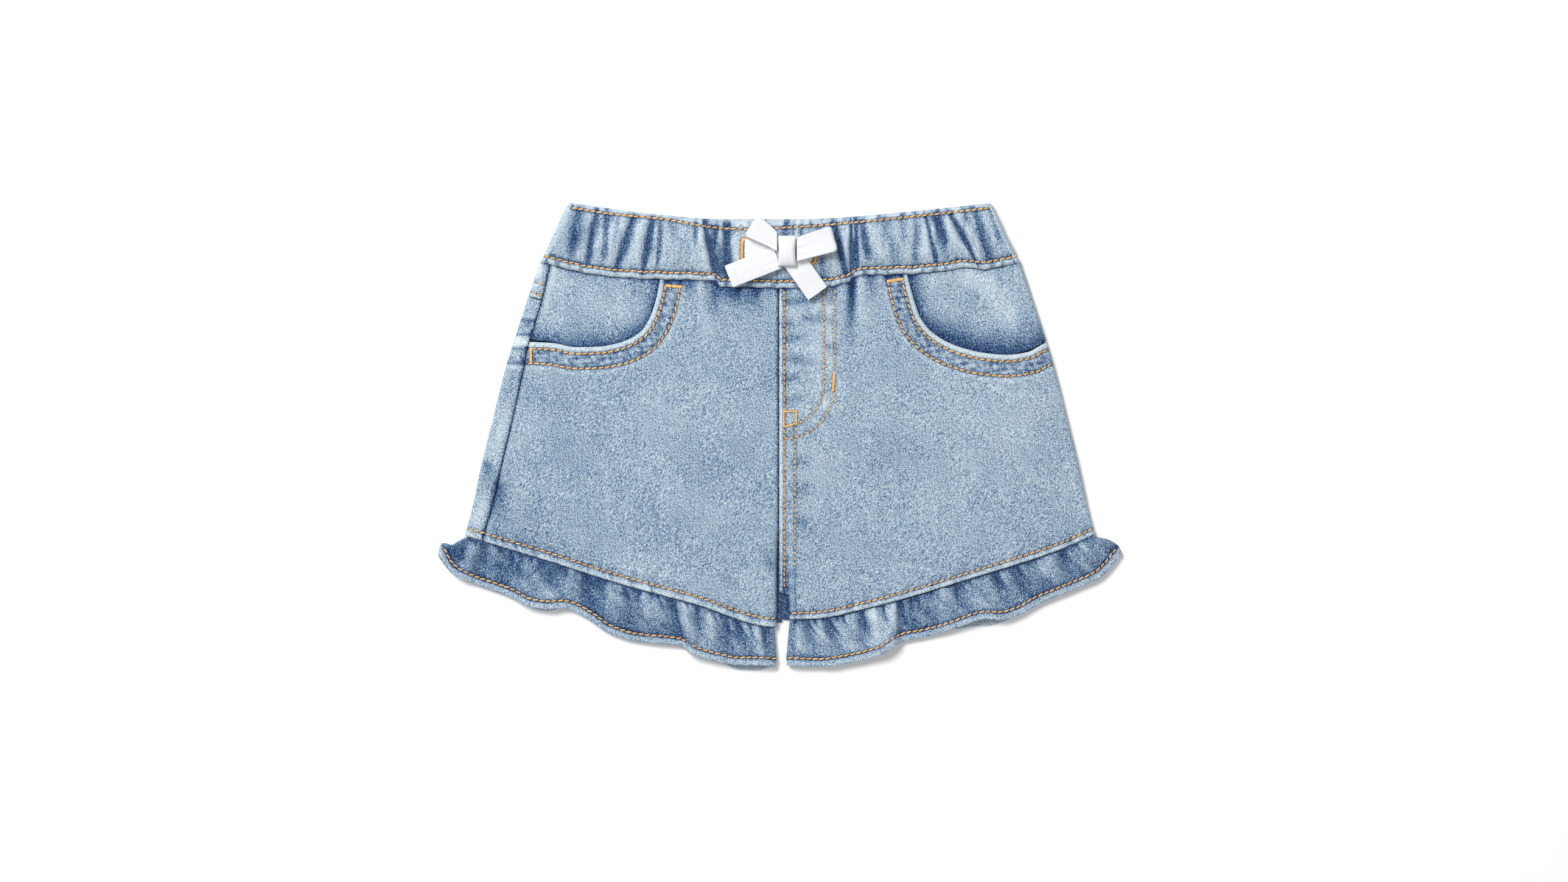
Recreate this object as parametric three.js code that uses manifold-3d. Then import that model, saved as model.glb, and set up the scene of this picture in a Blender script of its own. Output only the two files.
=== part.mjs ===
// Toddler's pull-on denim shorts, laid flat and front up.
// Millimetres. +X is the wearer's left, +Y runs up to the waist, +Z is up off the surface.

import * as THREE from 'three';
import { mergeVertices } from 'three/addons/utils/BufferGeometryUtils.js';
import Module from 'manifold-3d';

const wasm = await Module();
wasm.setup();

// Driving dimensions
const DENIM = 1.2;
const FACING = 1.0;
const TAPE = 1.0;
const SEAM_GAP = 0.3;
const JOIN_GAP = 0.5;
const FOLD_RADIUS = 2.1;
const CROWN = 0.8;
const HEM_THICKENING = 0.6;

// Half width of the body at each height, fold to fold
const SIDE = [
  { y: 84, half: 113.9 },
  { y: 51, half: 124.8 },
  { y: 32, half: 130.7 },
  { y: 3, half: 138.0 },
  { y: -15, half: 142.4 },
  { y: -32, half: 146.0 },
  { y: -48, half: 150.0 },
];

// How far in from the fold the side seam lies: on the front of the right leg, under the left leg
const SEAM_INSET = [
  { y: 84, inset: 5.2 },
  { y: 63, inset: 7.3 },
  { y: 43, inset: 7.6 },
  { y: 30, inset: 9.0 },
  { y: 0, inset: 9.7 },
  { y: -23, inset: 9.8 },
  { y: -48, inset: 8.8 },
];

// Lower edge of the waistband. Its middle drops between two deep pleats.
const WAIST_LIP = [
  { x: -115, y: 83.4 },
  { x: -104.8, y: 80.3 },
  { x: -93, y: 77.7 },
  { x: -81.6, y: 76.3 },
  { x: -58, y: 74.7 },
  { x: -31, y: 73.8 },
  { x: -28.4, y: 71.2 },
  { x: -12, y: 70.8 },
  { x: 0, y: 70.4 },
  { x: 23, y: 71.4 },
  { x: 33, y: 73.3 },
  { x: 35.6, y: 76 },
  { x: 58, y: 77.1 },
  { x: 81, y: 79.2 },
  { x: 89, y: 80.3 },
  { x: 96, y: 79.2 },
  { x: 104, y: 80.4 },
  { x: 115, y: 83.0 },
];

// The same edge on the back, where no pleat drops it
const BACK_LIP = [
  { x: -115, y: 83.4 },
  { x: -104.8, y: 80.3 },
  { x: -81.6, y: 76.3 },
  { x: -58, y: 74.7 },
  { x: 0, y: 73.6 },
  { x: 58, y: 77.2 },
  { x: 81, y: 79.4 },
  { x: 104, y: 81.0 },
  { x: 115, y: 83.0 },
];

const WAIST_TOP = [
  { x: -101, y: 111.2 },
  { x: -82, y: 108.5 },
  { x: -58, y: 105.5 },
  { x: -29, y: 103.3 },
  { x: 10, y: 103.2 },
  { x: 34, y: 104.4 },
  { x: 63, y: 107.0 },
  { x: 101, y: 110.9 },
];

// The leg hems, where the ruffles are let in
const HEM = {
  right: [
    { x: -150, y: -47.2 },
    { x: -111, y: -59.0 },
    { x: -76, y: -70.1 },
    { x: -41, y: -79.6 },
    { x: -2.5, y: -90.6 },
    { x: 1, y: -90.2 },
  ],
  left: [
    { x: 0.9, y: -87.2 },
    { x: 17, y: -86.7 },
    { x: 40, y: -82.1 },
    { x: 98, y: -65.3 },
    { x: 133, y: -53.9 },
    { x: 150, y: -46.4 },
  ],
};

// Pocket mouths, from the waistband round to the side
const POCKET_MOUTH = {
  right: [
    [-56.8, 80], [-57.4, 73], [-59.2, 64], [-61.6, 57], [-66, 50],
    [-74.5, 45.1], [-86, 42.7], [-97, 42.4], [-108, 44.4], [-130, 45.3],
  ],
  left: [
    [60.3, 84], [61.2, 76], [63.7, 65], [67, 56], [73.5, 48.6],
    [84.5, 42.8], [97, 39.7], [108, 38.8], [118, 40.2], [126, 44.2], [134, 45.3],
  ],
};

// Lower edge of each pocket facing: level with the mouth at the side, tucked under the front further in
const FACING_EDGE = {
  right: [
    { x: -128, y: 45.9 },
    { x: -117, y: 45.6 },
    { x: -108, y: 44.9 },
    { x: -95, y: 35.5 },
    { x: -46, y: 35.5 },
  ],
  left: [
    { x: 50, y: 33 },
    { x: 103, y: 33 },
    { x: 113, y: 39.6 },
    { x: 117, y: 40.6 },
    { x: 121, y: 42.4 },
    { x: 124.5, y: 44.4 },
    { x: 126, y: 45.7 },
  ],
};
const MOUTH_AT_SIDE = 45.3;
const FACING_INNER = { right: 47, left: 51 };

// Elastic gathers of the waistband: a trough runs from x at the top edge to x at the lower edge
const WAIST_GATHERS = [
  { top: -95.3, low: -100.8, half: 2.6, depth: 0.9 },
  { top: -87.1, low: -92.7, half: 1.7, depth: 1.2 },
  { top: -82.2, low: -85.4, half: 1.4, depth: 1.0 },
  { top: -68.9, low: -79.6, half: 2.0, depth: 1.2 },
  { top: -60.8, low: -66.3, half: 1.7, depth: 1.2 },
  { top: -56.4, low: -59.0, half: 1.2, depth: 0.8 },
  { top: -36.1, low: -30.0, half: 1.0, depth: 2.1 },
  { top: -26.2, low: -24.5, half: 1.7, depth: 1.6 },
  { top: 2.5, low: 2.5, half: 1.7, depth: 0.8 },
  { top: 25.1, low: 31.4, half: 1.2, depth: 1.3 },
  { top: 33.6, low: 35.2, half: 1.3, depth: 2.1 },
  { top: 38.1, low: 42.2, half: 1.7, depth: 1.0 },
  { top: 48.3, low: 57.0, half: 2.0, depth: 0.5 },
  { top: 68.3, low: 75.0, half: 1.2, depth: 1.2 },
  { top: 73.5, low: 82.2, half: 1.7, depth: 0.9 },
  { top: 79.0, low: 94.7, half: 1.4, depth: 1.5 },
  { top: 91.4, low: 100.2, half: 1.7, depth: 0.8 },
  { top: 98.6, low: 108.2, half: 1.4, depth: 0.5 },
];

// Section of the waistband from its lower edge, v = 0, to its folded top, v = 1.
// z is the height of the front face and gather is how deep a trough is there.
const WAIST_SECTION = [
  { v: 0, z: 4.9, gather: 0.1 },
  { v: 0.11, z: 5.3, gather: 0.25 },
  { v: 0.34, z: 7.0, gather: 1 },
  { v: 0.64, z: 7.1, gather: 1 },
  { v: 0.86, z: 5.7, gather: 0.5 },
  { v: 0.94, z: 5.9, gather: 0.35 },
  { v: 1, z: 4.4, gather: 0.1 },
];
const BAND_BACK = 2.4;
const BAND_HOLLOW = 0.8;
const BAND_FOLD_CUT = 0.6;

// Ruffle folds from the inner leg out: x at the leg hem, x at the free edge,
// and the height of the cloth near the hem and at the free edge. Low rows are troughs.
const RUFFLE_FOLDS = {
  right: [
    { hem: -4.8, edge: -3.5, near: 3.7, far: 4.6 },
    { hem: -7.2, edge: -5.3, near: 3.0, far: 5.2 },
    { hem: -11.4, edge: -8.2, near: 5.2, far: 6.0 },
    { hem: -20.6, edge: -14.2, near: 3.4, far: 5.4 },
    { hem: -26.5, edge: -23.6, near: 3.2, far: 5.0 },
    { hem: -32.9, edge: -30.9, near: 5.6, far: 5.4 },
    { hem: -39.9, edge: -36.7, near: 3.4, far: 5.6 },
    { hem: -45.7, edge: -41.3, near: 5.4, far: 6.8 },
    { hem: -51.2, edge: -45.0, near: 3.0, far: 3.2 },
    { hem: -60.8, edge: -57.0, near: 5.2, far: 4.2 },
    { hem: -73.5, edge: -68.6, near: 3.6, far: 3.6 },
    { hem: -80.8, edge: -78.7, near: 5.0, far: 3.6 },
    { hem: -90.9, edge: -91.8, near: 3.0, far: 3.4 },
    { hem: -97.6, edge: -101.4, near: 4.8, far: 4.4 },
    { hem: -108.6, edge: -110.8, near: 3.0, far: 5.6 },
    { hem: -117.0, edge: -119.9, near: 4.8, far: 5.2 },
    { hem: -128.0, edge: -130.9, near: 3.2, far: 3.4 },
    { hem: -134.6, edge: -137.6, near: 4.2, far: 3.2 },
    { hem: -140.6, edge: -144.6, near: 3.2, far: 3.4 },
    { hem: -144.4, edge: -150.8, near: 5.0, far: 5.6 },
    { hem: -146.9, edge: -157.4, near: 3.4, far: 3.2 },
  ],
  left: [
    { hem: 7.0, edge: 5.6, near: 3.4, far: 4.8 },
    { hem: 9.6, edge: 9.2, near: 5.0, far: 5.2 },
    { hem: 12.2, edge: 16.8, near: 3.0, far: 4.6 },
    { hem: 17.9, edge: 23.4, near: 5.0, far: 5.4 },
    { hem: 22.6, edge: 30.4, near: 3.4, far: 5.2 },
    { hem: 32.4, edge: 37.0, near: 5.6, far: 5.4 },
    { hem: 38.1, edge: 41.6, near: 3.2, far: 5.6 },
    { hem: 44.2, edge: 47.9, near: 5.6, far: 6.8 },
    { hem: 48.6, edge: 50.9, near: 4.4, far: 7.0 },
    { hem: 53.4, edge: 54.2, near: 6.0, far: 6.4 },
    { hem: 56.6, edge: 58.6, near: 3.4, far: 3.2 },
    { hem: 66.4, edge: 68.0, near: 3.6, far: 3.2 },
    { hem: 78.6, edge: 80.8, near: 5.0, far: 4.2 },
    { hem: 84.0, edge: 87.2, near: 3.2, far: 4.6 },
    { hem: 92.4, edge: 97.0, near: 4.8, far: 5.8 },
    { hem: 102.0, edge: 106.9, near: 3.2, far: 4.6 },
    { hem: 107.4, edge: 113.4, near: 4.2, far: 4.0 },
    { hem: 112.6, edge: 119.9, near: 3.4, far: 3.6 },
    { hem: 126.8, edge: 132.0, near: 5.0, far: 3.8 },
    { hem: 132.4, edge: 140.2, near: 3.0, far: 3.6 },
    { hem: 142.6, edge: 149.2, near: 5.4, far: 3.8 },
    { hem: 146.6, edge: 155.0, near: 3.9, far: 3.4 },
  ],
};

// Free edge of each ruffle: y of the front layer, and how far the back layer shows below it
const RUFFLE_EDGE = {
  right: [
    { x: -163.4, y: -52.6, peep: 0 },
    { x: -160.8, y: -59.6, peep: 0 },
    { x: -155.6, y: -65.3, peep: 0 },
    { x: -149.8, y: -68.4, peep: 0 },
    { x: -128, y: -76.4, peep: 0 },
    { x: -119, y: -81.0, peep: 0.3 },
    { x: -110, y: -82.2, peep: 0.8 },
    { x: -103, y: -81.6, peep: 0 },
    { x: -93, y: -85.9, peep: 0 },
    { x: -81.6, y: -93.4, peep: 0 },
    { x: -70, y: -97.1, peep: 0 },
    { x: -46.8, y: -99.9, peep: 0 },
    { x: -41.6, y: -103.6, peep: 0 },
    { x: -29, y: -107.1, peep: 0 },
    { x: -20, y: -108.7, peep: 2.1 },
    { x: -9, y: -108.8, peep: 2.4 },
    { x: -1.3, y: -109.6, peep: 0 },
  ],
  left: [
    { x: 2.5, y: -108.9, peep: 0 },
    { x: 20, y: -109.4, peep: 0 },
    { x: 34, y: -107.4, peep: 0 },
    { x: 49, y: -103.2, peep: 0 },
    { x: 57, y: -97.9, peep: 0 },
    { x: 69, y: -95.4, peep: 0 },
    { x: 81, y: -92.1, peep: 0 },
    { x: 87.4, y: -89.9, peep: 1.2 },
    { x: 98, y: -86.8, peep: 3.0 },
    { x: 105, y: -87.3, peep: 1.2 },
    { x: 113, y: -85.2, peep: 0 },
    { x: 124, y: -79.3, peep: 0 },
    { x: 145, y: -70.7, peep: 0 },
    { x: 152, y: -67.3, peep: 0 },
    { x: 158, y: -61.6, peep: 0 },
    { x: 163.4, y: -54.0, peep: 0 },
  ],
};

// Rise of the ruffle between its hem, v = 0, and its free edge, v = 1
const RUFFLE_ROWS = [0, 0.2, 0.5, 0.8, 1];
const RUFFLE_SEAM_HEIGHT = 4.1;
const RUFFLE_INNER_END = { right: { hem: -2.7, edge: -1.5 }, left: { hem: 4.6, edge: 2.7 } };
const RUFFLE_OUTER_END = { right: { hem: -149.3, edge: -163.3 }, left: { hem: 149.6, edge: 163.3 } };

// Soft creases of the two fronts: a trough from one point to another
const FRONT_CREASES = [
  { x1: 35, y1: 76, x2: 34, y2: 44, half: 3.6, depth: 0.9 },
  { x1: -28, y1: 72, x2: -34, y2: 40, half: 5, depth: 0.5 },
  { x1: 96, y1: 79, x2: 112, y2: 66, half: 4, depth: 0.6 },
  { x1: -132, y1: -24, x2: -136, y2: -46, half: 4, depth: 0.5 },
];

// The crotch: below its top the two legs' inner edges roll down to the centre seam
const CROTCH = { top: -42, front: -74, rightEdge: -1.7, leftEdge: 4.4, roll: 2.6, floor: 3.0 };
const CENTRE_FRONT = -0.7;
const CENTRE_BACK = 1.0;

const YOKE = { side: 66, centre: 37 };

// Tape and bow heights above the surface
const TAPE_HALF = 5.5;
const BAR_BASE = 7.5;
const BOW = {
  tailBase: BAR_BASE + TAPE + SEAM_GAP,
  loopBase: BAR_BASE + 2 * TAPE + 2 * SEAM_GAP,
  loopHeight: 4.2,
  knotTop: 16,
};

const DENIM_LOOK = { color: 0x8fabc8, roughness: 0.9, metalness: 0 };
const FACING_LOOK = { color: 0x6f90b8, roughness: 0.9, metalness: 0 };
const TAPE_LOOK = { color: 0xf4f5f7, roughness: 0.85, metalness: 0 };

// Small maths
const mix = (a, b, t) => a + (b - a) * t;
const clamp = (t) => Math.min(1, Math.max(0, t));
const smooth = (t) => clamp(t) * clamp(t) * (3 - 2 * clamp(t));

// Value of one column of a table at a given place in another, in straight steps
function lookup(table, key, column, at) {
  const rising = table[table.length - 1][key] > table[0][key];
  const rows = rising ? table : [...table].reverse();
  if (at <= rows[0][key]) return rows[0][column];
  for (let i = 1; i < rows.length; i += 1) {
    if (at <= rows[i][key]) {
      const t = (at - rows[i - 1][key]) / (rows[i][key] - rows[i - 1][key]);
      return mix(rows[i - 1][column], rows[i][column], t);
    }
  }
  return rows[rows.length - 1][column];
}

const halfWidth = (y) => lookup(SIDE, 'y', 'half', y);
const seamInset = (y) => lookup(SEAM_INSET, 'y', 'inset', y);
const lipY = (x) => lookup(WAIST_LIP, 'x', 'y', x);
const backLipY = (x) => lookup(BACK_LIP, 'x', 'y', x);
const waistTopY = (x) => lookup(WAIST_TOP, 'x', 'y', x);
const hemY = (leg, x) => lookup(HEM[leg], 'x', 'y', x);

// A mesh from shared points and triangles, with its faces turned outwards
function solid(name, points, triangles, look) {
  let volume = 0;
  for (const [a, b, c] of triangles) {
    const [p, q, r] = [points[a], points[b], points[c]];
    volume += p[0] * (q[1] * r[2] - q[2] * r[1]);
    volume += p[1] * (q[2] * r[0] - q[0] * r[2]);
    volume += p[2] * (q[0] * r[1] - q[1] * r[0]);
  }
  const outward = volume > 0 ? triangles : triangles.map(([a, b, c]) => [a, c, b]);
  const geometry = new THREE.BufferGeometry();
  geometry.setAttribute('position', new THREE.Float32BufferAttribute(points.flat(), 3));
  geometry.setIndex(outward.flat());
  geometry.computeVertexNormals();
  const mesh = new THREE.Mesh(geometry, new THREE.MeshStandardMaterial(look));
  mesh.name = name;
  return mesh;
}

// A wall between two grids of points with the same rows and columns. A ring's columns close up.
function wall(name, outer, inner, look, ring = false) {
  const rows = outer.length;
  const columns = outer[0].length;
  const points = [...outer.flat(), ...inner.flat()];
  const layer = rows * columns;
  const at = (side, r, c) => side * layer + r * columns + (c % columns);
  const triangles = [];
  const quad = (a, b, c, d) => triangles.push([a, b, c], [a, c, d]);
  const steps = ring ? columns : columns - 1;
  for (let c = 0; c < steps; c += 1) {
    for (let r = 0; r < rows - 1; r += 1) {
      quad(at(0, r, c), at(0, r, c + 1), at(0, r + 1, c + 1), at(0, r + 1, c));
      quad(at(1, r, c), at(1, r + 1, c), at(1, r + 1, c + 1), at(1, r, c + 1));
    }
    quad(at(0, 0, c), at(1, 0, c), at(1, 0, c + 1), at(0, 0, c + 1));
    const last = rows - 1;
    quad(at(0, last, c), at(0, last, c + 1), at(1, last, c + 1), at(1, last, c));
  }
  if (!ring) {
    for (let r = 0; r < rows - 1; r += 1) {
      quad(at(0, r, 0), at(0, r + 1, 0), at(1, r + 1, 0), at(1, r, 0));
      const end = columns - 1;
      quad(at(0, r, end), at(1, r, end), at(1, r + 1, end), at(0, r + 1, end));
    }
  }
  return solid(name, points, triangles, look);
}

// Depth of the soft creases at a point of the front
function creaseDepth(x, y) {
  let depth = 0;
  for (const crease of FRONT_CREASES) {
    const [dx, dy] = [crease.x2 - crease.x1, crease.y2 - crease.y1];
    const t = ((x - crease.x1) * dx + (y - crease.y1) * dy) / (dx * dx + dy * dy);
    const off = Math.hypot(x - crease.x1 - clamp(t) * dx, y - crease.y1 - clamp(t) * dy);
    const fade = 1 - smooth(t);
    depth += crease.depth * fade * Math.exp(-((off / crease.half) ** 2));
  }
  return depth;
}

// How far down the legs' inner edges have rolled, 0 on the flat and 1 at the bottom of the crotch
function crotchRoll(x, y) {
  const deep = smooth((CROTCH.top - y) / 10);
  let away = 0;
  if (x < CROTCH.rightEdge) away = CROTCH.rightEdge - x;
  if (x > CROTCH.leftEdge) away = x - CROTCH.leftEdge;
  const t = clamp(away / CROTCH.roll);
  return deep * (1 - Math.sqrt(1 - (1 - t) ** 2));
}

// Height of the front's outer face away from the side folds
function frontHeight(x, y) {
  const inward = Math.max(0, halfWidth(y) - FOLD_RADIUS - Math.abs(x));
  const flat = 2 * FOLD_RADIUS + CROWN * smooth(inward / 22) - creaseDepth(x, y);
  return mix(flat, CROTCH.floor, crotchRoll(x, y));
}

// A point of the body's skin. s is the way round the side fold: 0 at its outermost line,
// positive on to the front and negative on to the back. depth is measured in from the outer face.
const QUARTER = (FOLD_RADIUS * Math.PI) / 2;
function skin(sign, s, y, depth, drop = 0) {
  const centre = halfWidth(y) - FOLD_RADIUS;
  if (Math.abs(s) <= QUARTER) {
    const angle = s / FOLD_RADIUS;
    const radius = FOLD_RADIUS - depth;
    const x = centre + radius * Math.cos(angle);
    return [sign * x, y, FOLD_RADIUS + radius * Math.sin(angle)];
  }
  const x = sign * (centre - (Math.abs(s) - QUARTER));
  if (s < 0) return [x, y, depth];
  return [x, y, frontHeight(x, y) - drop - depth];
}

// s of a point of the front or back at a given x, once past the fold
const sFromX = (y, x) => halfWidth(y) - FOLD_RADIUS - Math.abs(x) + QUARTER;

// s of the side seam: on the right leg it lies on the front, on the left leg underneath
const sideSeamS = (sign, y) => -sign * (seamInset(y) + QUARTER - FOLD_RADIUS);

// A panel of the body. columns(y, v) gives s for each of its columns at a height y, and its rows
// lie between topY(x, s) and bottomY(x, s). Each point is settled on the skin at its own height.
function panel({ name, sign, columns, rows, topY, bottomY, thick, look, band, drop }) {
  const outer = [];
  const inner = [];
  for (const v of rows) {
    const outerRow = [];
    const innerRow = [];
    const startY = mix(topY(sign * 114, 0), bottomY(sign * 150, 0), v);
    const raise = band && v > band ? HEM_THICKENING : 0;
    columns(startY, v).forEach((_, c) => {
      let y = startY;
      let s = 0;
      for (let pass = 0; pass < 6; pass += 1) {
        s = columns(y, v)[c];
        const [x] = skin(sign, s, y, 0);
        y = mix(topY(x, s), bottomY(x, s), v);
      }
      const onFront = s > 0;
      const lowered = drop && onFront ? drop(skin(sign, s, y, 0)[0], y) : 0;
      outerRow.push(skin(sign, s, y, 0, onFront ? lowered - raise : 0));
      innerRow.push(skin(sign, s, y, thick + (onFront ? 0 : raise), lowered));
    });
    outer.push(outerRow);
    inner.push(innerRow);
  }
  return wall(name, outer, inner, look);
}

// Columns from the side seam: round the fold in even steps where the piece turns it,
// then across the flat at given shares
function columnsFrom(from, to, shares) {
  const turn = [1, 0.5, 0, -0.5, -1].map((share) => share * QUARTER);
  const way = to > from ? turn.reverse() : turn;
  const ahead = way.filter((s) => (to > from ? s > from + 0.5 : s < from - 0.5));
  const start = ahead.length ? ahead[ahead.length - 1] : from;
  return [from, ...ahead, ...shares.map((t) => mix(start, to, t))];
}

const BODY_ROWS = [0, 0.02, 0.09, 0.17, 0.26, 0.36, 0.46, 0.56, 0.66, 0.74, 0.82, 0.89, 0.94, 0.968, 0.977, 1];
const HEM_ROW = 0.97;
const FACING_SHARES = [0.1, 0.26, 0.342, 0.52, 0.7, 0.85, 1];
const BACK_SHARES = [0.12, 0.27, 0.43, 0.6, 0.72, 0.75, 0.88, 0.96, 1];
const FRONT_SHARES = [0.06, 0.16, 0.27, 0.38, 0.49, 0.6, 0.71, 0.75, 0.84, 0.92, 0.96, 0.98, 0.99, 1];
const sides = [
  { leg: 'right', sign: -1 },
  { leg: 'left', sign: 1 },
];

// s at the centre front, where the left leg's edge draws back below the crotch
function centreFrontS(sign, y) {
  if (sign < 0) return sFromX(y, CENTRE_FRONT - SEAM_GAP / 2);
  const below = smooth((CROTCH.front - y) / 1.5);
  return sFromX(y, 0) - mix(CENTRE_FRONT + SEAM_GAP / 2, CROTCH.leftEdge, below);
}

function makeFront({ leg, sign }) {
  const whole = panel({
    name: `front_${leg}`,
    sign,
    columns: (y) => columnsFrom(sideSeamS(sign, y) + SEAM_GAP / 2, centreFrontS(sign, y), FRONT_SHARES),
    rows: BODY_ROWS,
    topY: (x) => lipY(x) - JOIN_GAP,
    bottomY: (x) => hemY(leg, x),
    thick: DENIM,
    look: DENIM_LOOK,
    band: HEM_ROW,
  });
  return cutAway(whole, [pocketOpening(leg, sign), sideOpening(sign)]);
}

// The scoop of the pocket mouth, as a block outside its curve and above the middle of the fold
function pocketOpening(leg, sign) {
  const curve = new THREE.SplineCurve(POCKET_MOUTH[leg].map(([x, y]) => new THREE.Vector2(x, y)));
  const shape = new THREE.Shape(curve.getPoints(22));
  const beyond = sign * 170;
  shape.lineTo(beyond, MOUTH_AT_SIDE);
  shape.lineTo(beyond, 120);
  shape.lineTo(POCKET_MOUTH[leg][0][0], 120);
  const block = new THREE.ExtrudeGeometry(shape, { depth: 20, bevelEnabled: false });
  block.translate(0, 0, FOLD_RADIUS);
  return block;
}

// Below the middle of the fold the front stops straight across, level with the end of the mouth
function sideOpening(sign) {
  const block = new THREE.BoxGeometry(120, 80, 20);
  block.translate(sign * 110, MOUTH_AT_SIDE + 40, FOLD_RADIUS - 10);
  return block;
}

function toManifold(geometry) {
  const bare = new THREE.BufferGeometry();
  bare.setAttribute('position', geometry.getAttribute('position').clone());
  if (geometry.index) bare.setIndex(geometry.index.clone());
  const merged = mergeVertices(bare, 1e-4);
  return new wasm.Manifold(new wasm.Mesh({
    numProp: 3,
    vertProperties: Float32Array.from(merged.getAttribute('position').array),
    triVerts: Uint32Array.from(merged.index.array),
  }));
}

function cutAway(mesh, blocks) {
  let rest = toManifold(mesh.geometry);
  for (const block of blocks) rest = rest.subtract(toManifold(block));
  const cut = rest.getMesh();
  const geometry = new THREE.BufferGeometry();
  geometry.setAttribute('position', new THREE.Float32BufferAttribute(cut.vertProperties, 3));
  geometry.setIndex([...cut.triVerts]);
  geometry.computeVertexNormals();
  mesh.geometry = geometry;
  return mesh;
}

// The facing lies under the front's mouth and comes up to the side seam
function makeFacing({ leg, sign }) {
  const sunk = DENIM + SEAM_GAP;
  return panel({
    name: `pocket_facing_${leg}`,
    sign,
    columns: (y) => columnsFrom(sideSeamS(sign, y) + SEAM_GAP / 2, sFromX(y, FACING_INNER[leg]), FACING_SHARES),
    rows: [0, 0.12, 0.3, 0.5, 0.7, 0.86, 1],
    topY: (x) => lipY(x) - JOIN_GAP,
    bottomY: (x, s) => (s < 0 ? MOUTH_AT_SIDE + SEAM_GAP : lookup(FACING_EDGE[leg], 'x', 'y', x)),
    thick: FACING,
    look: FACING_LOOK,
    drop: (x, y) => sunk * smooth((halfWidth(y) - FOLD_RADIUS - 1 - Math.abs(x)) / 9),
  });
}

// Share of the way down the side at which the yoke ends
const YOKE_SHARE = 0.132;

// Where the yoke seam crosses the back, and on the right leg the strip that turns on to the front
const yokeY = (x) => mix(YOKE.centre, YOKE.side, clamp(Math.abs(x) / 118));

function backPanel({ leg, sign }, name, rows, topY, bottomY, band) {
  return panel({
    name,
    sign,
    columns: (y) => columnsFrom(sideSeamS(sign, y) - SEAM_GAP / 2, centreBackS(sign, y), BACK_SHARES),
    rows,
    topY,
    bottomY,
    thick: DENIM,
    look: DENIM_LOOK,
    band,
  });
}

// s at the centre back seam, on the side of it that each piece keeps to
const centreBackS = (sign, y) => -sFromX(y, 0) + sign * CENTRE_BACK + SEAM_GAP / 2;

function makeYoke(side) {
  const lip = (x) => backLipY(x) - JOIN_GAP;
  const rows = [...BODY_ROWS.filter((v) => v < YOKE_SHARE).map((v) => v / YOKE_SHARE), 1];
  return backPanel(side, `yoke_${side.leg}`, rows, lip, (x) => yokeY(x) + SEAM_GAP / 2);
}

function makeBack(side) {
  const lower = BODY_ROWS.filter((v) => v > YOKE_SHARE + 0.02);
  const rows = [0, ...lower.map((v) => (v - YOKE_SHARE) / (1 - YOKE_SHARE))];
  const band = (HEM_ROW - YOKE_SHARE) / (1 - YOKE_SHARE);
  const top = (x) => yokeY(x) - SEAM_GAP / 2;
  return backPanel(side, `back_${side.leg}`, rows, top, (x) => hemY(side.leg, x), band);
}

// The waistband is one flattened ring. Its columns follow the gathers, so each trough has
// a centre and two shoulders, and plain columns fill the wide stretches between them.
const COLUMN_PITCH = 8;
function waistColumns() {
  const columns = [];
  for (const gather of WAIST_GATHERS) {
    for (const k of [-1, 0, 1]) {
      const depth = k === 0 ? gather.depth : 0;
      columns.push({ top: gather.top + k * gather.half, low: gather.low + k * gather.half, depth });
    }
  }
  const filled = [];
  for (const [i, column] of columns.entries()) {
    const before = columns[i - 1];
    if (before && column.low - before.low > COLUMN_PITCH) {
      const count = Math.floor((column.low - before.low) / COLUMN_PITCH);
      for (let k = 1; k <= count; k += 1) {
        const t = k / (count + 1);
        filled.push({ top: mix(before.top, column.top, t), low: mix(before.low, column.low, t), depth: 0 });
      }
    }
    filled.push(column);
  }
  return filled;
}

function makeWaistband() {
  const ends = { low: 114.3, top: 101.0 };
  const columns = waistColumns();
  const outer = [];
  const inner = [];
  for (const row of WAIST_SECTION) {
    const outerRow = [];
    const innerRow = [];
    const end = mix(ends.low, ends.top, row.v);
    const backCut = row.v === 1 ? BAND_FOLD_CUT : 0;
    const height = (x, lip) => mix(lip((x * ends.low) / end), waistTopY((x * ends.top) / end), row.v);
    const put = (x, z, innerX, innerZ, lip = lipY) => {
      outerRow.push([x, height(x, lip), z]);
      innerRow.push([innerX, height(innerX, lip), innerZ]);
    };
    const endRadius = row.z / 2;
    const hollowTop = BAND_BACK + BAND_HOLLOW;
    for (const column of columns) {
      const x = mix(column.low, column.top, row.v);
      put(x, row.z - column.depth * row.gather, x, hollowTop);
    }
    foldEnd(put, 1, end, endRadius, backCut);
    for (const share of [0.92, 0.8, 0.7, 0.5, 0.25, 0, -0.25, -0.5, -0.7, -0.8, -0.92]) {
      put(share * end, backCut, share * end, BAND_BACK, backLipY);
    }
    foldEnd(put, -1, end, endRadius, backCut);
    outer.push(outerRow);
    inner.push(innerRow);
  }
  return wall('waistband', outer, inner, DENIM_LOOK, true);
}

// The rounded end of the flattened ring, with a small hollow inside it
function foldEnd(put, sign, end, radius, backCut) {
  const angles = sign > 0 ? [60, 25, -25, -60] : [-60, -25, 25, 60];
  const hollow = BAND_HOLLOW / 2;
  for (const degrees of angles) {
    const angle = (degrees * Math.PI) / 180;
    const zOut = Math.max(backCut, radius + radius * Math.sin(angle));
    const zIn = BAND_BACK + hollow + hollow * Math.sin(angle);
    const x = sign * (end - radius + radius * Math.cos(angle));
    put(x, zOut, sign * (end - radius - 0.4 + hollow * Math.cos(angle)), zIn);
  }
}

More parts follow.
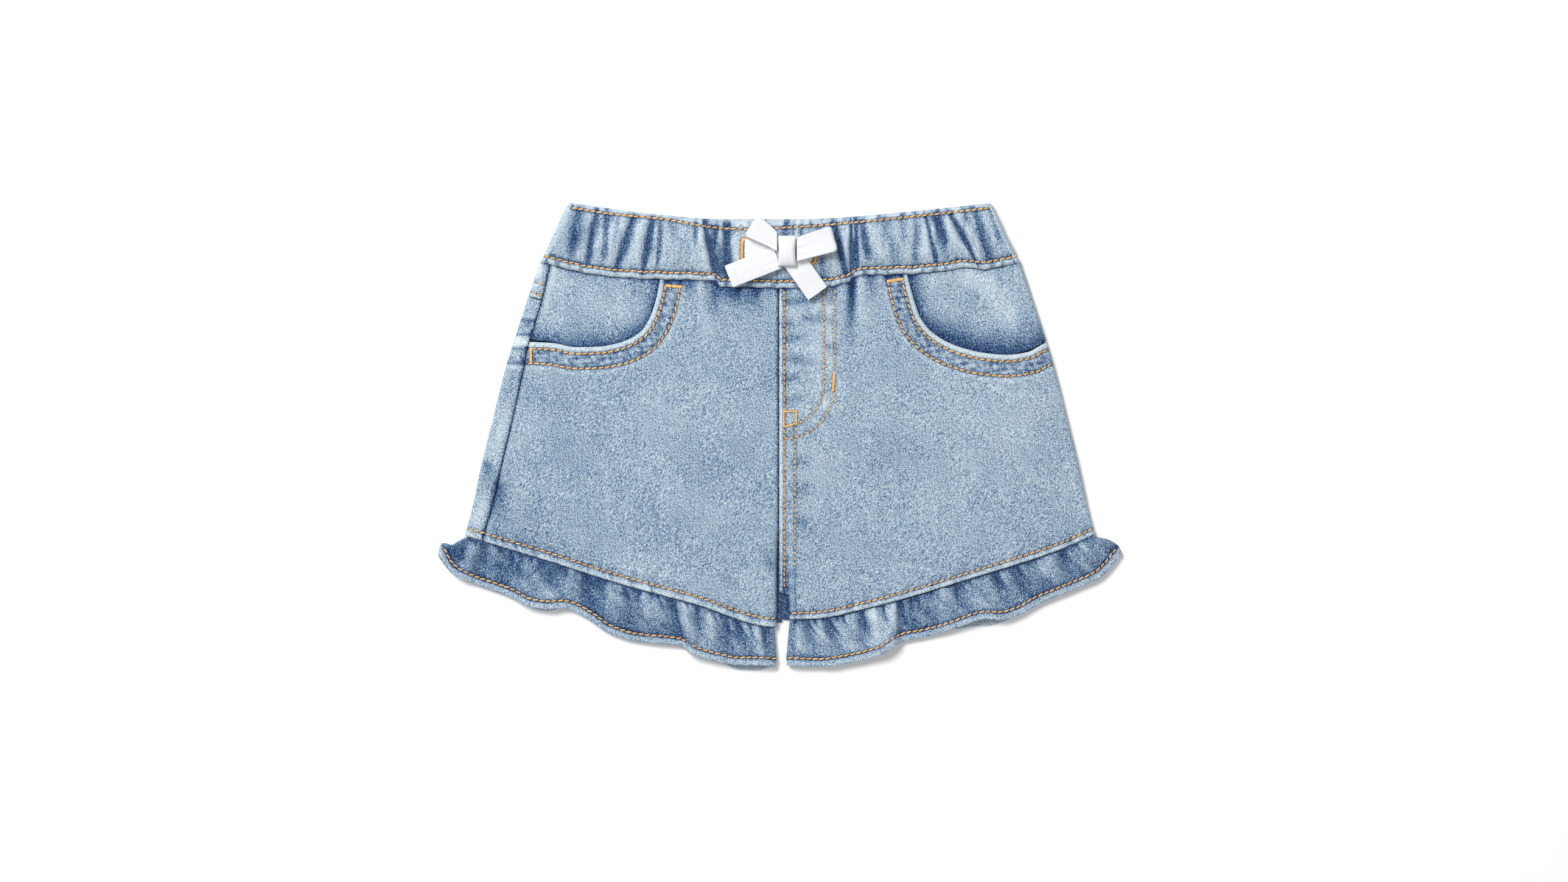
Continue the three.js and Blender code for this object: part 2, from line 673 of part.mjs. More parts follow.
// A ruffle is a flattened ring of mid-surface points, thickened to the denim's wall.
function makeRuffle({ leg, sign }) {
  const innerEnd = RUFFLE_INNER_END[leg];
  const outerEnd = RUFFLE_OUTER_END[leg];
  const folds = RUFFLE_FOLDS[leg];
  const middle = [];
  for (const v of RUFFLE_ROWS) {
    const row = [];
    const place = (hemX, edgeX, z, peepShare, push = 0) => {
      const x = mix(hemX, edgeX, v) + push;
      const hemAt = hemY(leg, hemX + push) - JOIN_GAP;
      const edgeAt = lookup(RUFFLE_EDGE[leg], 'x', 'y', edgeX);
      const peep = peepShare * lookup(RUFFLE_EDGE[leg], 'x', 'peep', edgeX);
      row.push([x, mix(hemAt, edgeAt - peep, v), z]);
    };
    const height = (fold) => {
      const rising = smooth(v / 0.2);
      const outward = smooth((v - 0.2) / 0.8);
      return mix(mix(RUFFLE_SEAM_HEIGHT, fold.near, rising), fold.far, outward) - DENIM / 2;
    };
    const bottom = DENIM / 2;
    folds.forEach((fold, i) => {
      if (i > 0) {
        const last = folds[i - 1];
        const level = (height(last) + height(fold)) / 2;
        place((last.hem + fold.hem) / 2, (last.edge + fold.edge) / 2, level, 0);
      }
      place(fold.hem, fold.edge, height(fold), 0);
    });
    ringEnd(place, outerEnd, sign, height(folds[folds.length - 1]), bottom, true);
    for (const t of [0.93, 0.82, 0.71, 0.62, 0.5, 0.38, 0.28, 0.17, 0.08]) {
      place(mix(innerEnd.hem, outerEnd.hem, t), mix(innerEnd.edge, outerEnd.edge, t), bottom, 1);
    }
    ringEnd(place, innerEnd, -sign, height(folds[0]), bottom, false);
    middle.push(row);
  }
  const [outer, inner] = thicken(middle, DENIM / 2);
  return wall(`ruffle_${leg}`, outer, inner, DENIM_LOOK, true);
}

// Points that turn round the end of a flattened ring, between its front and back layers
function ringEnd(place, end, outward, frontZ, backZ, downwards) {
  const radius = (frontZ - backZ) / 2;
  const angles = downwards ? [55, 0, -55] : [-55, 0, 55];
  for (const degrees of angles) {
    const angle = (degrees * Math.PI) / 180;
    const push = outward * (radius * Math.cos(angle) - radius - DENIM / 2);
    place(end.hem, end.edge, backZ + radius + radius * Math.sin(angle), 0, push);
  }
}

// Outer and inner grids a half thickness each side of a ring's middle grid, offset in X and Z
function thicken(middle, half) {
  const outer = [];
  const inner = [];
  for (const row of middle) {
    const count = row.length;
    const outerRow = [];
    const innerRow = [];
    row.forEach((point, c) => {
      const before = row[(c + count - 1) % count];
      const after = row[(c + 1) % count];
      const along = [after[0] - before[0], after[2] - before[2]];
      const length = Math.hypot(...along);
      const normal = [along[1] / length, -along[0] / length];
      outerRow.push([point[0] - normal[0] * half, point[1], Math.max(0, point[2] - normal[1] * half)]);
      innerRow.push([point[0] + normal[0] * half, point[1], point[2] + normal[1] * half]);
    });
    outer.push(outerRow);
    inner.push(innerRow);
  }
  return signedOutwards(outer, inner);
}

// The outer grid is the one that is higher on the front layer
function signedOutwards(outer, inner) {
  const higher = outer[0][4][2] > inner[0][4][2];
  return higher ? [outer, inner] : [inner, outer];
}

// A length of tape: path points run out from origin along heading, with a height and half width each
function tape({ name, origin, heading, path }) {
  const angle = (heading * Math.PI) / 180;
  const dir = [Math.cos(angle), Math.sin(angle)];
  const outer = [];
  const inner = [];
  path.forEach((point, i) => {
    const before = path[Math.max(0, i - 1)];
    const after = path[Math.min(path.length - 1, i + 1)];
    const step = [after.out - before.out, after.z - before.z];
    const length = Math.hypot(...step);
    const normal = [-step[1] / length, step[0] / length];
    const outerRow = [];
    const innerRow = [];
    for (const share of [-1, -0.5, 0, 0.5, 1]) {
      const crown = 0.25 * (1 - share * share);
      const side = share * point.half;
      const build = (offset) => {
        const out = point.out + (point.skew ?? 0) * side + normal[0] * (offset + crown);
        const x = origin[0] + dir[0] * out - dir[1] * side;
        const y = origin[1] + dir[1] * out + dir[0] * side;
        return [x, y, point.z + normal[1] * (offset + crown)];
      };
      outerRow.push(build(TAPE / 2));
      innerRow.push(build(-TAPE / 2));
    }
    outer.push(outerRow);
    inner.push(innerRow);
  });
  return wall(name, outer, inner, TAPE_LOOK);
}

// A loop of tape goes out flat, turns over and comes back on top of itself,
// and its two ends are cut square to the knot.
function loopPath(reach, nearHalf, farHalf, heading) {
  const path = [];
  const skew = (t) => (t === 0 ? Math.tan((heading * Math.PI) / 180) : 0);
  const low = BOW.loopBase + TAPE / 2;
  const radius = (BOW.loopHeight - TAPE) / 2;
  for (const t of [0, 0.35, 0.7, 1]) {
    path.push({ out: t * (reach - radius), z: low, half: mix(nearHalf, farHalf, t), skew: skew(t) });
  }
  for (const degrees of [-45, 0, 45]) {
    const angle = (degrees * Math.PI) / 180;
    const out = reach - radius + radius * Math.cos(angle);
    path.push({ out, z: low + radius + radius * Math.sin(angle), half: farHalf });
  }
  for (const t of [1, 0.7, 0.35, 0]) {
    const z = low + 2 * radius - 0.5 * (1 - t);
    path.push({ out: t * (reach - radius), z, half: mix(nearHalf, farHalf, t), skew: skew(t) });
  }
  return path;
}

function makeBow() {
  const low = BOW.tailBase + TAPE / 2;
  const bar = BAR_BASE + TAPE / 2;
  const straight = (reach, near, far) => [0, 0.3, 0.6, 1].map((t) => (
    { out: reach * t, z: mix(near, far, t * t), half: TAPE_HALF }
  ));
  return [
    tape({ name: 'tape_bar', origin: [-16.7, 88], heading: 0, path: straight(32, bar, bar) }),
    tape({ name: 'bow_loop_right', origin: [-1.4, 91.9], heading: 147, path: loopPath(14.6, 3.6, 5.7, 147) }),
    tape({ name: 'bow_loop_left', origin: [8.0, 88.4], heading: 16.5, path: loopPath(18.4, 5.4, 6.1, 16.5) }),
    tape({ name: 'bow_tail_right', origin: [-1.2, 84.7], heading: 201.3, path: straight(24.8, low, low - 0.3) }),
    tape({ name: 'bow_tail_left', origin: [6.6, 83.6], heading: -54.5, path: straight(19.4, low, low - 1.2) }),
    makeKnot(),
  ];
}

// The knot is a short wrap of tape, pulled in at its waist and rounded over
function makeKnot() {
  const [left, right, low, high] = [-1.0, 7.6, 80.4, 95.0];
  const base = BOW.loopBase;
  const top = [];
  const bottom = [];
  for (const v of [0, 0.12, 0.35, 0.65, 0.88, 1]) {
    const roll = Math.sqrt(1 - (2 * v - 1) ** 2);
    const topRow = [];
    const bottomRow = [];
    for (const u of [0, 0.15, 0.4, 0.6, 0.85, 1]) {
      const side = Math.sqrt(1 - (2 * u - 1) ** 4);
      const x = mix(left, right, u);
      const y = mix(low, high, v);
      topRow.push([x, y, mix(base + 2.2, BOW.knotTop, roll * (0.35 + 0.65 * side))]);
      bottomRow.push([x, y, base]);
    }
    top.push(topRow);
    bottom.push(bottomRow);
  }
  return wall('bow_knot', top, bottom, TAPE_LOOK);
}

const shorts = new THREE.Group();
shorts.add(makeWaistband());
for (const side of sides) {
  shorts.add(makeFront(side), makeFacing(side), makeYoke(side), makeBack(side), makeRuffle(side));
}
shorts.add(...makeBow());

export default shorts;
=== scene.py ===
import math

import bpy
import numpy as np
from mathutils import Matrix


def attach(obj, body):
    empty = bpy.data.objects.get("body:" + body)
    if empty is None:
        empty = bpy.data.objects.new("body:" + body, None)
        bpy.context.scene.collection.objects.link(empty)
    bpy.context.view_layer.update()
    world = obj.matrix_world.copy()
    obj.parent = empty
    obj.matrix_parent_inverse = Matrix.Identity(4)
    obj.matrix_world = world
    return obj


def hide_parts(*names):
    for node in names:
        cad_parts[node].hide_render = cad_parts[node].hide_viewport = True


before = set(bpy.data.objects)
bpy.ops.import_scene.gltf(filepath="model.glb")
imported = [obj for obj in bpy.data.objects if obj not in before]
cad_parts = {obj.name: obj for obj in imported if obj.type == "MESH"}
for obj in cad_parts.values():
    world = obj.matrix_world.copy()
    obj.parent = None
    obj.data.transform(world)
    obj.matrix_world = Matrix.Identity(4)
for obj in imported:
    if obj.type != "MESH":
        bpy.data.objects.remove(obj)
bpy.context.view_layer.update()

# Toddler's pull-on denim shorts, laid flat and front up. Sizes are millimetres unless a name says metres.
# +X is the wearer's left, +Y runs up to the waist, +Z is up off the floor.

METRES = 0.001
RANDOM = np.random.default_rng(7)

# Cloth sizes
DENIM = 1.2
FACING = 1.0
TAPE = 1.0
SEAM_GAP = 0.3
JOIN_GAP = 0.2
FOLD_RADIUS = 2.1
CROWN = 0.8
CROWN_REACH = 22
QUARTER_TURN = FOLD_RADIUS * math.pi / 2
HEM_THICKENING = 0.6

# Height on the garment, half width of the body
SIDE = [(84, 113.9), (51, 124.8), (32, 130.7), (3, 138.0), (-15, 142.4), (-32, 146.0), (-48, 150.0)]

# Height on the garment, how far in from the fold the side seam lies
SEAM_INSET = [(84, 5.2), (63, 7.3), (43, 7.6), (30, 9.0), (0, 9.7), (-23, 9.8), (-48, 8.8)]

# Across the garment, lower edge of the waistband in front and behind
WAIST_LIP = [
    (-115, 83.4), (-104.8, 80.3), (-93, 77.7), (-81.6, 76.3), (-58, 74.7), (-31, 73.8), (-28.4, 71.2),
    (-12, 70.8), (0, 70.4), (23, 71.4), (33, 73.3), (35.6, 76), (58, 77.1), (81, 79.2), (89, 80.3),
    (96, 79.2), (104, 80.4), (115, 83.0),
]
BACK_LIP = [
    (-115, 83.4), (-104.8, 80.3), (-81.6, 76.3), (-58, 74.7), (0, 73.6), (58, 77.2), (81, 79.4),
    (104, 81.0), (115, 83.0),
]
WAIST_TOP = [
    (-101, 111.2), (-82, 108.5), (-58, 105.5), (-29, 103.3), (10, 103.2), (34, 104.4), (63, 107.0),
    (101, 110.9),
]

# Across the garment, the leg hems
HEM = {
    "right": [(-150, -47.2), (-111, -59.0), (-76, -70.1), (-41, -79.6), (-2.5, -90.6), (1, -90.2)],
    "left": [(0.9, -87.2), (17, -86.7), (40, -82.1), (98, -65.3), (133, -53.9), (150, -46.4)],
}

# Across the garment, the pocket mouths from the waistband round to the side
POCKET_MOUTH = {
    "right": [
        (-56.8, 80), (-57.4, 73), (-59.2, 64), (-61.6, 57), (-66, 50), (-74.5, 45.1), (-86, 42.7),
        (-97, 42.4), (-108, 44.4), (-130, 45.3),
    ],
    "left": [
        (60.3, 84), (61.2, 76), (63.7, 65), (67, 56), (73.5, 48.6), (84.5, 42.8), (97, 39.7),
        (108, 38.8), (118, 40.2), (126, 44.2), (134, 45.3),
    ],
}
FACING_EDGE = {
    "right": [(-128, 45.9), (-117, 45.6), (-108, 44.9), (-95, 35.5), (-46, 35.5)],
    "left": [(50, 33), (103, 33), (113, 39.6), (117, 40.6), (121, 42.4), (124.5, 44.4), (126, 45.7)],
}
MOUTH_AT_SIDE = 45.3
FACING_INNER = {"right": 47, "left": 51}
FACING_SINKS_OVER = 9

# Where the left facing is rubbed pale
FACING_FADE = [(90, 76), (98, 70), (109, 58)]

# How dark a facing is at its pocket mouth, painted shade from the mouth's edge with the blue that it keeps
# there, and how far that reaches at the mouth's foot and up its side
FACING_SHADE = {"right": (0.56, 5.5, 3.5), "left": (0.62, 9.0, 4.0)}

# Waistband gathers: x at the top edge, x at the lower edge, half width, depth, painted shade,
# and the part of the band's height that each runs over
WAIST_GATHERS = [
    (-95.3, -100.8, 3.4, 0.8, 0.30, 0.20, 1.0),
    (-87.1, -92.7, 2.4, 1.2, 0.40, 0.10, 1.0),
    (-82.2, -84.8, 2.0, 0.8, 0.30, 0.22, 1.0),
    (-77.0, -79.0, 1.4, 0.4, 0.18, 0.55, 1.0),
    (-68.9, -79.6, 2.6, 1.2, 0.40, 0.08, 1.0),
    (-60.5, -66.0, 2.3, 1.2, 0.42, 0.00, 1.0),
    (-56.4, -59.0, 1.5, 0.8, 0.32, 0.20, 1.0),
    (-51.0, -52.0, 1.8, 0.4, 0.15, 0.70, 1.1),
    (-40.2, -40.8, 1.5, 0.6, 0.28, 0.58, 1.1),
    (-36.6, -30.0, 1.3, 2.3, 0.95, -0.1, 1.0),
    (-33.4, -27.5, 3.2, 0.5, 0.34, 0.10, 1.0),
    (-30.0, -32.0, 1.3, 0.6, 0.25, 0.62, 1.0),
    (-26.2, -24.5, 2.2, 1.6, 0.72, 0.10, 1.0),
    (2.5, 2.5, 1.8, 0.8, 0.25, 0.4, 1.0),
    (6.2, 6.2, 1.4, 0.6, 0.25, 0.5, 1.0),
    (10.0, 10.0, 1.4, 0.6, 0.22, 0.5, 1.0),
    (19.0, 20.0, 2.0, 0.4, 0.15, 0.0, 0.9),
    (24.7, 32.0, 1.8, 1.3, 0.58, 0.0, 1.0),
    (33.5, 34.1, 1.0, 2.3, 0.90, -0.1, 1.0),
    (35.7, 36.6, 1.3, 1.5, 0.56, 0.1, 1.0),
    (38.3, 42.2, 2.4, 1.0, 0.36, 0.3, 1.0),
    (48.3, 57.0, 2.6, 0.5, 0.12, 0.1, 1.0),
    (57.5, 61.0, 2.2, 0.4, 0.14, 0.5, 1.0),
    (64.8, 63.4, 2.0, 0.4, 0.18, 0.1, 1.0),
    (68.3, 75.0, 1.4, 1.2, 0.44, 0.0, 1.0),
    (71.5, 79.5, 2.4, 0.5, 0.20, 0.2, 1.0),
    (73.5, 82.2, 2.6, 0.9, 0.32, 0.4, 1.0),
    (79.0, 94.7, 1.7, 1.5, 0.56, 0.0, 1.0),
    (87.2, 91.5, 2.0, 0.5, 0.24, 0.7, 1.1),
    (91.4, 100.2, 3.0, 0.8, 0.30, 0.1, 1.0),
    (98.6, 108.2, 1.8, 0.5, 0.20, 0.3, 1.0),
]

# How strongly a gather's trough is painted in shade, and how far its steep dark side, turned from the light,
# and its other side reach
GATHER_SHADE = 1.6
GATHER_SIDES = (0.55, 1.1)

# Gathers on the back of the waistband, in the same columns
BACK_GATHERS = [
    (-90, -97, 2.9, 0.9, 0.3, 0.08, 1.0),
    (-74, -80, 2.1, 1.1, 0.42, 0.16, 1.0),
    (-61, -64, 1.8, 0.8, 0.3, 0.0, 1.0),
    (-45, -50, 2.6, 1.2, 0.36, 0.08, 1.0),
    (-33, -35, 1.6, 0.7, 0.3, 0.36, 1.0),
    (-20, -22, 2.3, 1.1, 0.36, 0.0, 1.0),
    (-6, -4, 1.7, 0.8, 0.3, 0.08, 0.9),
    (9, 12, 2.6, 1.2, 0.42, 0.16, 1.0),
    (24, 26, 1.8, 0.7, 0.24, 0.1, 1.0),
    (37, 42, 2.2, 1.1, 0.36, 0.08, 1.0),
    (52, 56, 1.7, 0.8, 0.3, 0.16, 1.0),
    (66, 73, 2.7, 1.2, 0.42, 0.0, 1.0),
    (83, 90, 2.0, 0.8, 0.3, 0.08, 1.0),
    (94, 104, 2.3, 0.7, 0.24, 0.16, 1.0),
]

# Share of the way up the waistband, height of its front face, how deep a gather is there
WAIST_SECTION = [
    (0, 4.9, 0.12), (0.11, 5.3, 0.3), (0.34, 7.0, 1), (0.64, 7.1, 1), (0.84, 5.8, 0.55),
    (0.92, 5.9, 0.45), (1, 4.4, 0.15),
]
BAND_BACK = 2.4
BAND_HOLLOW = 0.8
BAND_LOW_END = 114.3
BAND_TOP_END = 101.0

# Across the garment, how far the upper row of waistband stitching lies below the top edge
TOP_STITCH_DROP = [
    (-100, 2.3), (-82, 2.6), (-58, 2.0), (-29, 4.3), (-16, 4.9), (11, 3.6), (34, 2.9), (63, 2.6),
    (101, 2.3),
]
LIP_STITCH_RISE = 3.3

# Ruffle folds from the inner leg out: x at the leg hem, x at the free edge,
# height of the cloth near the hem and at the free edge
RUFFLE_FOLDS = {
    "right": [
        (-4.8, -3.5, 3.7, 4.6), (-7.2, -5.3, 3.0, 5.2), (-11.4, -8.2, 5.2, 6.0),
        (-20.6, -14.2, 3.4, 5.4), (-26.5, -23.6, 3.2, 5.0), (-32.9, -30.9, 5.6, 5.4),
        (-39.9, -36.7, 3.4, 5.6), (-45.7, -41.3, 5.4, 6.8), (-51.2, -45.0, 3.0, 3.2),
        (-60.8, -57.0, 5.2, 4.2), (-73.5, -68.6, 3.6, 3.6), (-80.8, -78.7, 5.0, 3.6),
        (-90.9, -91.8, 3.0, 3.4), (-97.6, -101.4, 4.8, 4.4), (-108.6, -110.8, 3.0, 5.6),
        (-117.0, -119.9, 4.8, 5.2), (-128.0, -130.9, 3.2, 3.4), (-134.6, -137.6, 4.2, 3.2),
        (-140.6, -144.6, 3.2, 3.4), (-144.4, -150.8, 5.0, 5.6), (-146.9, -157.4, 3.4, 3.2),
        (-147.6, -161.2, 3.4, 3.4),
    ],
    "left": [
        (7.0, 5.6, 3.4, 4.8), (9.6, 9.2, 5.0, 5.2), (12.2, 16.8, 3.0, 4.6), (17.9, 23.4, 5.0, 5.4),
        (22.6, 30.4, 3.4, 5.2), (32.4, 37.0, 5.6, 5.4), (38.1, 41.6, 3.2, 5.6), (44.2, 47.9, 5.6, 6.8),
        (48.6, 50.9, 4.4, 7.0), (53.4, 54.2, 6.0, 6.4), (56.6, 58.6, 3.4, 3.2), (66.4, 68.0, 3.6, 3.2),
        (78.6, 80.8, 5.0, 4.2), (84.0, 87.2, 3.2, 4.6), (92.4, 97.0, 4.8, 5.8), (102.0, 106.9, 3.2, 4.6),
        (107.4, 113.4, 4.2, 4.0), (112.6, 119.9, 3.4, 3.6), (126.8, 132.0, 5.0, 3.8),
        (132.4, 140.2, 3.0, 3.6), (142.6, 149.2, 5.4, 3.8), (146.6, 155.0, 3.9, 3.4),
        (147.8, 160.8, 3.6, 3.2),
    ],
}

# Across the garment, the ruffles' free edges, and how far the back layer shows below the front one
RUFFLE_EDGE = {
    "right": [
        (-163.4, -52.6), (-160.8, -59.6), (-155.6, -65.3), (-149.8, -68.4), (-128, -76.4),
        (-119, -81.0), (-110, -82.2), (-103, -81.6), (-93, -85.9), (-81.6, -93.4), (-70, -97.1),
        (-46.8, -99.9), (-41.6, -103.6), (-29, -107.1), (-20, -108.7), (-9, -108.8), (-1.3, -109.6),
    ],
    "left": [
        (2.5, -108.9), (20, -109.4), (34, -107.4), (49, -103.2), (57, -97.9), (69, -95.4),
        (81, -92.1), (87.4, -89.9), (98, -86.8), (105, -87.3), (113, -85.2), (124, -79.3),
        (145, -70.7), (152, -67.3), (158, -61.6), (163.4, -54.0),
    ],
}
RUFFLE_PEEP = {
    "right": [(-124, 0), (-119, 0.3), (-110, 0.8), (-103, 0), (-29, 0), (-20, 2.1), (-9, 2.4), (-1.3, 0)],
    "left": [(81, 0), (87.4, 1.2), (98, 3.0), (105, 1.2), (113, 0)],
}
RUFFLE_SEAM_HEIGHT = 4.1
RUFFLE_INNER_END = {"right": (-2.7, -1.5), "left": (4.6, 2.7)}
RUFFLE_OUTER_END = {"right": (-149.3, -163.3), "left": (149.6, 163.3)}
RUFFLE_HEM = 3.4

# Share of the way down the ruffle's outer end, how far its edge stands above a straight line
TIP_ROUNDING = 0.5
RUFFLE_TIP = {
    "right": [(0, 0), (0.25, -0.4), (0.45, -0.7), (0.65, 0.8), (0.85, 2.8), (0.94, 2.5), (1, 0)],
    "left": [(0, 0), (0.27, 2.0), (0.73, 2.0), (0.9, 0.9), (1, 0)],
}

# How faded each ruffle is between its folds
RUFFLE_WASH = {"right": 0.39, "left": 0.44}

# Painted shade and light on the ruffles' tips: x, y, x, y, half width, depth, shade
TIP_SHADE = [
    (-161.8, -49.5, -164.5, -62, 2.7, -0.3, -0.75),
    (-155.5, -53.5, -148, -58, 4.0, 0.4, 0.26),
    (-146.5, -51, -150, -64, 1.5, -0.4, -0.16),
    (-159.0, -57.0, -152, -63, 2.2, 0.2, 0.18),
    (160, -53, 148, -60, 5.0, 0.4, 0.06),
    (152, -50, 155, -62, 2.4, -0.3, -0.10),
]

# Short dark wedges below each ruffle's seam, sunk and painted in shade: x at the seam, length, and sideways
# lean per millimetre down
RUFFLE_WEDGES = {
    "right": [
        (-141.2, 4, 0.3), (-130.9, 3, -0.8), (-127.2, 5, 0.1), (-118.5, 2, 0.2), (-110.5, 6, -0.8),
        (-102.0, 2.5, 0.4), (-93.8, 4, 0), (-90.1, 3, 0.3), (-82.5, 2, 0), (-73.5, 5, 0.1),
        (-66.0, 2.5, -0.4),
        (-59.0, 4, 0.3), (-50.9, 8, 0), (-45.2, 2, 0.3), (-39.9, 4, 0), (-33.5, 3, 0.5), (-26.0, 5, 0),
        (-21.6, 7, 0.6), (-14.8, 2.5, 0.2), (-6.8, 6, 0.6),
    ],
    "left": [
        (6.2, 4, 0), (11.7, 9, 0.6), (16.5, 2.5, 0), (22.2, 6, 0.4), (29.5, 3, 0.2), (38.1, 5, 0.3),
        (48.0, 5, 0.3),
        (56.4, 6, 0.2), (65.7, 4, 0), (72.0, 2, -0.3), (83.1, 5, 0), (89.0, 2.5, 0.5), (102.2, 5, 0.3),
        (112.1, 4, 0.3), (121.0, 2, 0), (132.1, 6, 0.6), (140.5, 4, 0.3), (148.9, 4, 0.5),
    ],
}

CROTCH_TOP = -42
CROTCH_FRONT = -74
CROTCH_RIGHT_EDGE = -1.7
CROTCH_LEFT_EDGE = 4.4
CROTCH_ROLL = 2.6
CROTCH_FLOOR = 3.0
CROTCH_CORNER = 1.8
CENTRE_FRONT = -0.7
CENTRE_BACK = 1.0
YOKE_SIDE = 66
YOKE_CENTRE = 37
YOKE_REACH = 118

# Half width at the waist and at the hem, where the search for a panel's ends begins
WAIST_HALF = 114.0
HEM_HALF = 150.0

SIGN = {"right": -1, "left": 1}


def mix(a, b, t):
    return a + (b - a) * t


def smooth(t):
    t = np.clip(t, 0, 1)
    return t * t * (3 - 2 * t)


def bell(offset, half):
    return np.exp(-(offset / half) ** 2)


def through(rows):
    """A smooth curve through rows of (place, value). It never overshoots them and is level beyond them."""
    place, value = np.array(sorted(rows), float).T
    step = np.diff(place)
    rise = np.diff(value) / step
    slope = np.zeros(len(place))
    slope[0], slope[-1] = rise[0], rise[-1]
    before, after = rise[:-1], rise[1:]
    same_way = before * after > 0
    slope[1:-1][same_way] = (2 * before * after / np.where(same_way, before + after, 1))[same_way]

    def at(x):
        x = np.clip(x, place[0], place[-1])
        i = np.clip(np.searchsorted(place, x, side="right") - 1, 0, len(step) - 1)
        t = (x - place[i]) / step[i]
        start = value[i] * (1 + 2 * t) * (1 - t) ** 2 + step[i] * slope[i] * t * (1 - t) ** 2
        end = value[i + 1] * t * t * (3 - 2 * t) + step[i] * slope[i + 1] * t * t * (t - 1)
        return start + end

    return at


half_width = through(SIDE)
seam_inset = through(SEAM_INSET)
front_lip_line = through(WAIST_LIP)
back_lip = through(BACK_LIP)
waist_top = through(WAIST_TOP)
leg_hem = {leg: through(HEM[leg]) for leg in SIGN}
pocket_mouth = {leg: through(POCKET_MOUTH[leg]) for leg in SIGN}
facing_edge = {leg: through(FACING_EDGE[leg]) for leg in SIGN}
ruffle_edge = {leg: through(RUFFLE_EDGE[leg]) for leg in SIGN}
ruffle_peep = {leg: through(RUFFLE_PEEP[leg]) for leg in SIGN}
waist_height = through([(v, z) for v, z, _ in WAIST_SECTION])
waist_gather = through([(v, gather) for v, _, gather in WAIST_SECTION])
top_stitch_drop = through(TOP_STITCH_DROP)


def front_lip(x):
    """The waistband's lower edge in front, a little uneven where the gathered seam pulls it."""
    return front_lip_line(x) + 0.3 * uneven(x, 0 * x, 8, 9)


# Camera, light and floor

PHOTO_SIZE = (2576, 1449)
PHOTO_MM_PER_PIXEL = 0.29
PHOTO_MIDDLE = (1.9, -2.2)
LENS = 85
SENSOR = 36


def make_camera():
    data = bpy.data.cameras.new("camera")
    data.lens = LENS
    data.sensor_width = SENSOR
    data.clip_start = 0.01
    camera = bpy.data.objects.new("camera", data)
    distance = PHOTO_SIZE[0] * PHOTO_MM_PER_PIXEL * LENS / SENSOR
    camera.location = [PHOTO_MIDDLE[0] * METRES, PHOTO_MIDDLE[1] * METRES, distance * METRES]
    bpy.context.collection.objects.link(camera)
    bpy.context.scene.camera = camera


def make_light(name, place, size, power):
    data = bpy.data.lights.new(name, "AREA")
    data.energy = power
    data.size = size
    light = bpy.data.objects.new(name, data)
    light.location = place
    light.rotation_euler = (-light.location).to_track_quat("-Z", "Y").to_euler()
    bpy.context.collection.objects.link(light)


def make_studio():
    make_light("key_light", (-1.05, 1.05, 2.13), 1.0, 61)
    make_light("fill_light", (1.0, -0.8, 2.4), 2.4, 14)
    world = bpy.data.worlds.new("studio")
    world.use_nodes = True
    world.node_tree.nodes["Background"].inputs["Color"].default_value = (1, 1, 1, 1)
    world.node_tree.nodes["Background"].inputs["Strength"].default_value = 0.34
    bpy.context.scene.world = world
    bpy.context.scene.view_settings.view_transform = "Standard"
    mesh = bpy.data.meshes.new("floor")
    reach, drop = 4, -0.0001
    corners = [(-reach, -reach, drop), (reach, -reach, drop), (reach, reach, drop), (-reach, reach, drop)]
    mesh.from_pydata(corners, [], [(0, 1, 2, 3)])
    floor = bpy.data.objects.new("floor", mesh)
    bpy.context.collection.objects.link(floor)
    mesh.materials.append(studio_paper())


# Materials

def linear(hex_colour):
    """An sRGB hex value as linear RGBA."""
    channels = [int(hex_colour[i:i + 2], 16) / 255 for i in (1, 3, 5)]
    return [c / 12.92 if c <= 0.04045 else ((c + 0.055) / 1.055) ** 2.4 for c in channels] + [1]


def new_material(name, roughness, ior=1.5):
    material = bpy.data.materials.new(name)
    material.use_nodes = True
    shader = material.node_tree.nodes["Principled BSDF"]
    shader.inputs["Roughness"].default_value = roughness
    shader.inputs["IOR"].default_value = ior
    return material, shader


def add(material, kind, settings=None, **inputs):
    """A node with its settings, and its inputs as values or as another node's output."""
    node = material.node_tree.nodes.new(kind)
    for name, value in (settings or {}).items():
        if name == "steps":
            set_steps(node.color_ramp, value)
        else:
            setattr(node, name, value)
    for name, value in inputs.items():
        key = int(name[1:]) if name[1:].isdigit() else name.replace("_", " ")
        socket = node.inputs[key]
        if isinstance(value, bpy.types.NodeSocket):
            material.node_tree.links.new(value, socket)
        else:
            socket.default_value = value
    return node


def set_steps(ramp, steps):
    """Give a colour ramp its (place, sRGB hex) steps."""
    while len(ramp.elements) < len(steps):
        ramp.elements.new(0.5)
    for element, (place, colour) in zip(ramp.elements, steps):
        element.position = place
        element.color = linear(colour)


def surface(material, shader, tone, steps, height, strength, depth):
    """Colour a material by its tone, through the steps, and raise its bump."""
    colour = add(material, "ShaderNodeValToRGB", {"steps": steps}, Fac=tone)
    bump = add(material, "ShaderNodeBump", Strength=strength, Distance=depth * METRES, Height=height)
    material.node_tree.links.new(colour.outputs["Color"], shader.inputs["Base Color"])
    material.node_tree.links.new(bump.outputs["Normal"], shader.inputs["Normal"])


def studio_paper():
    material, shader = new_material("studio_paper", 0.9)
    shader.inputs["Base Color"].default_value = linear("#fafafa")
    return material
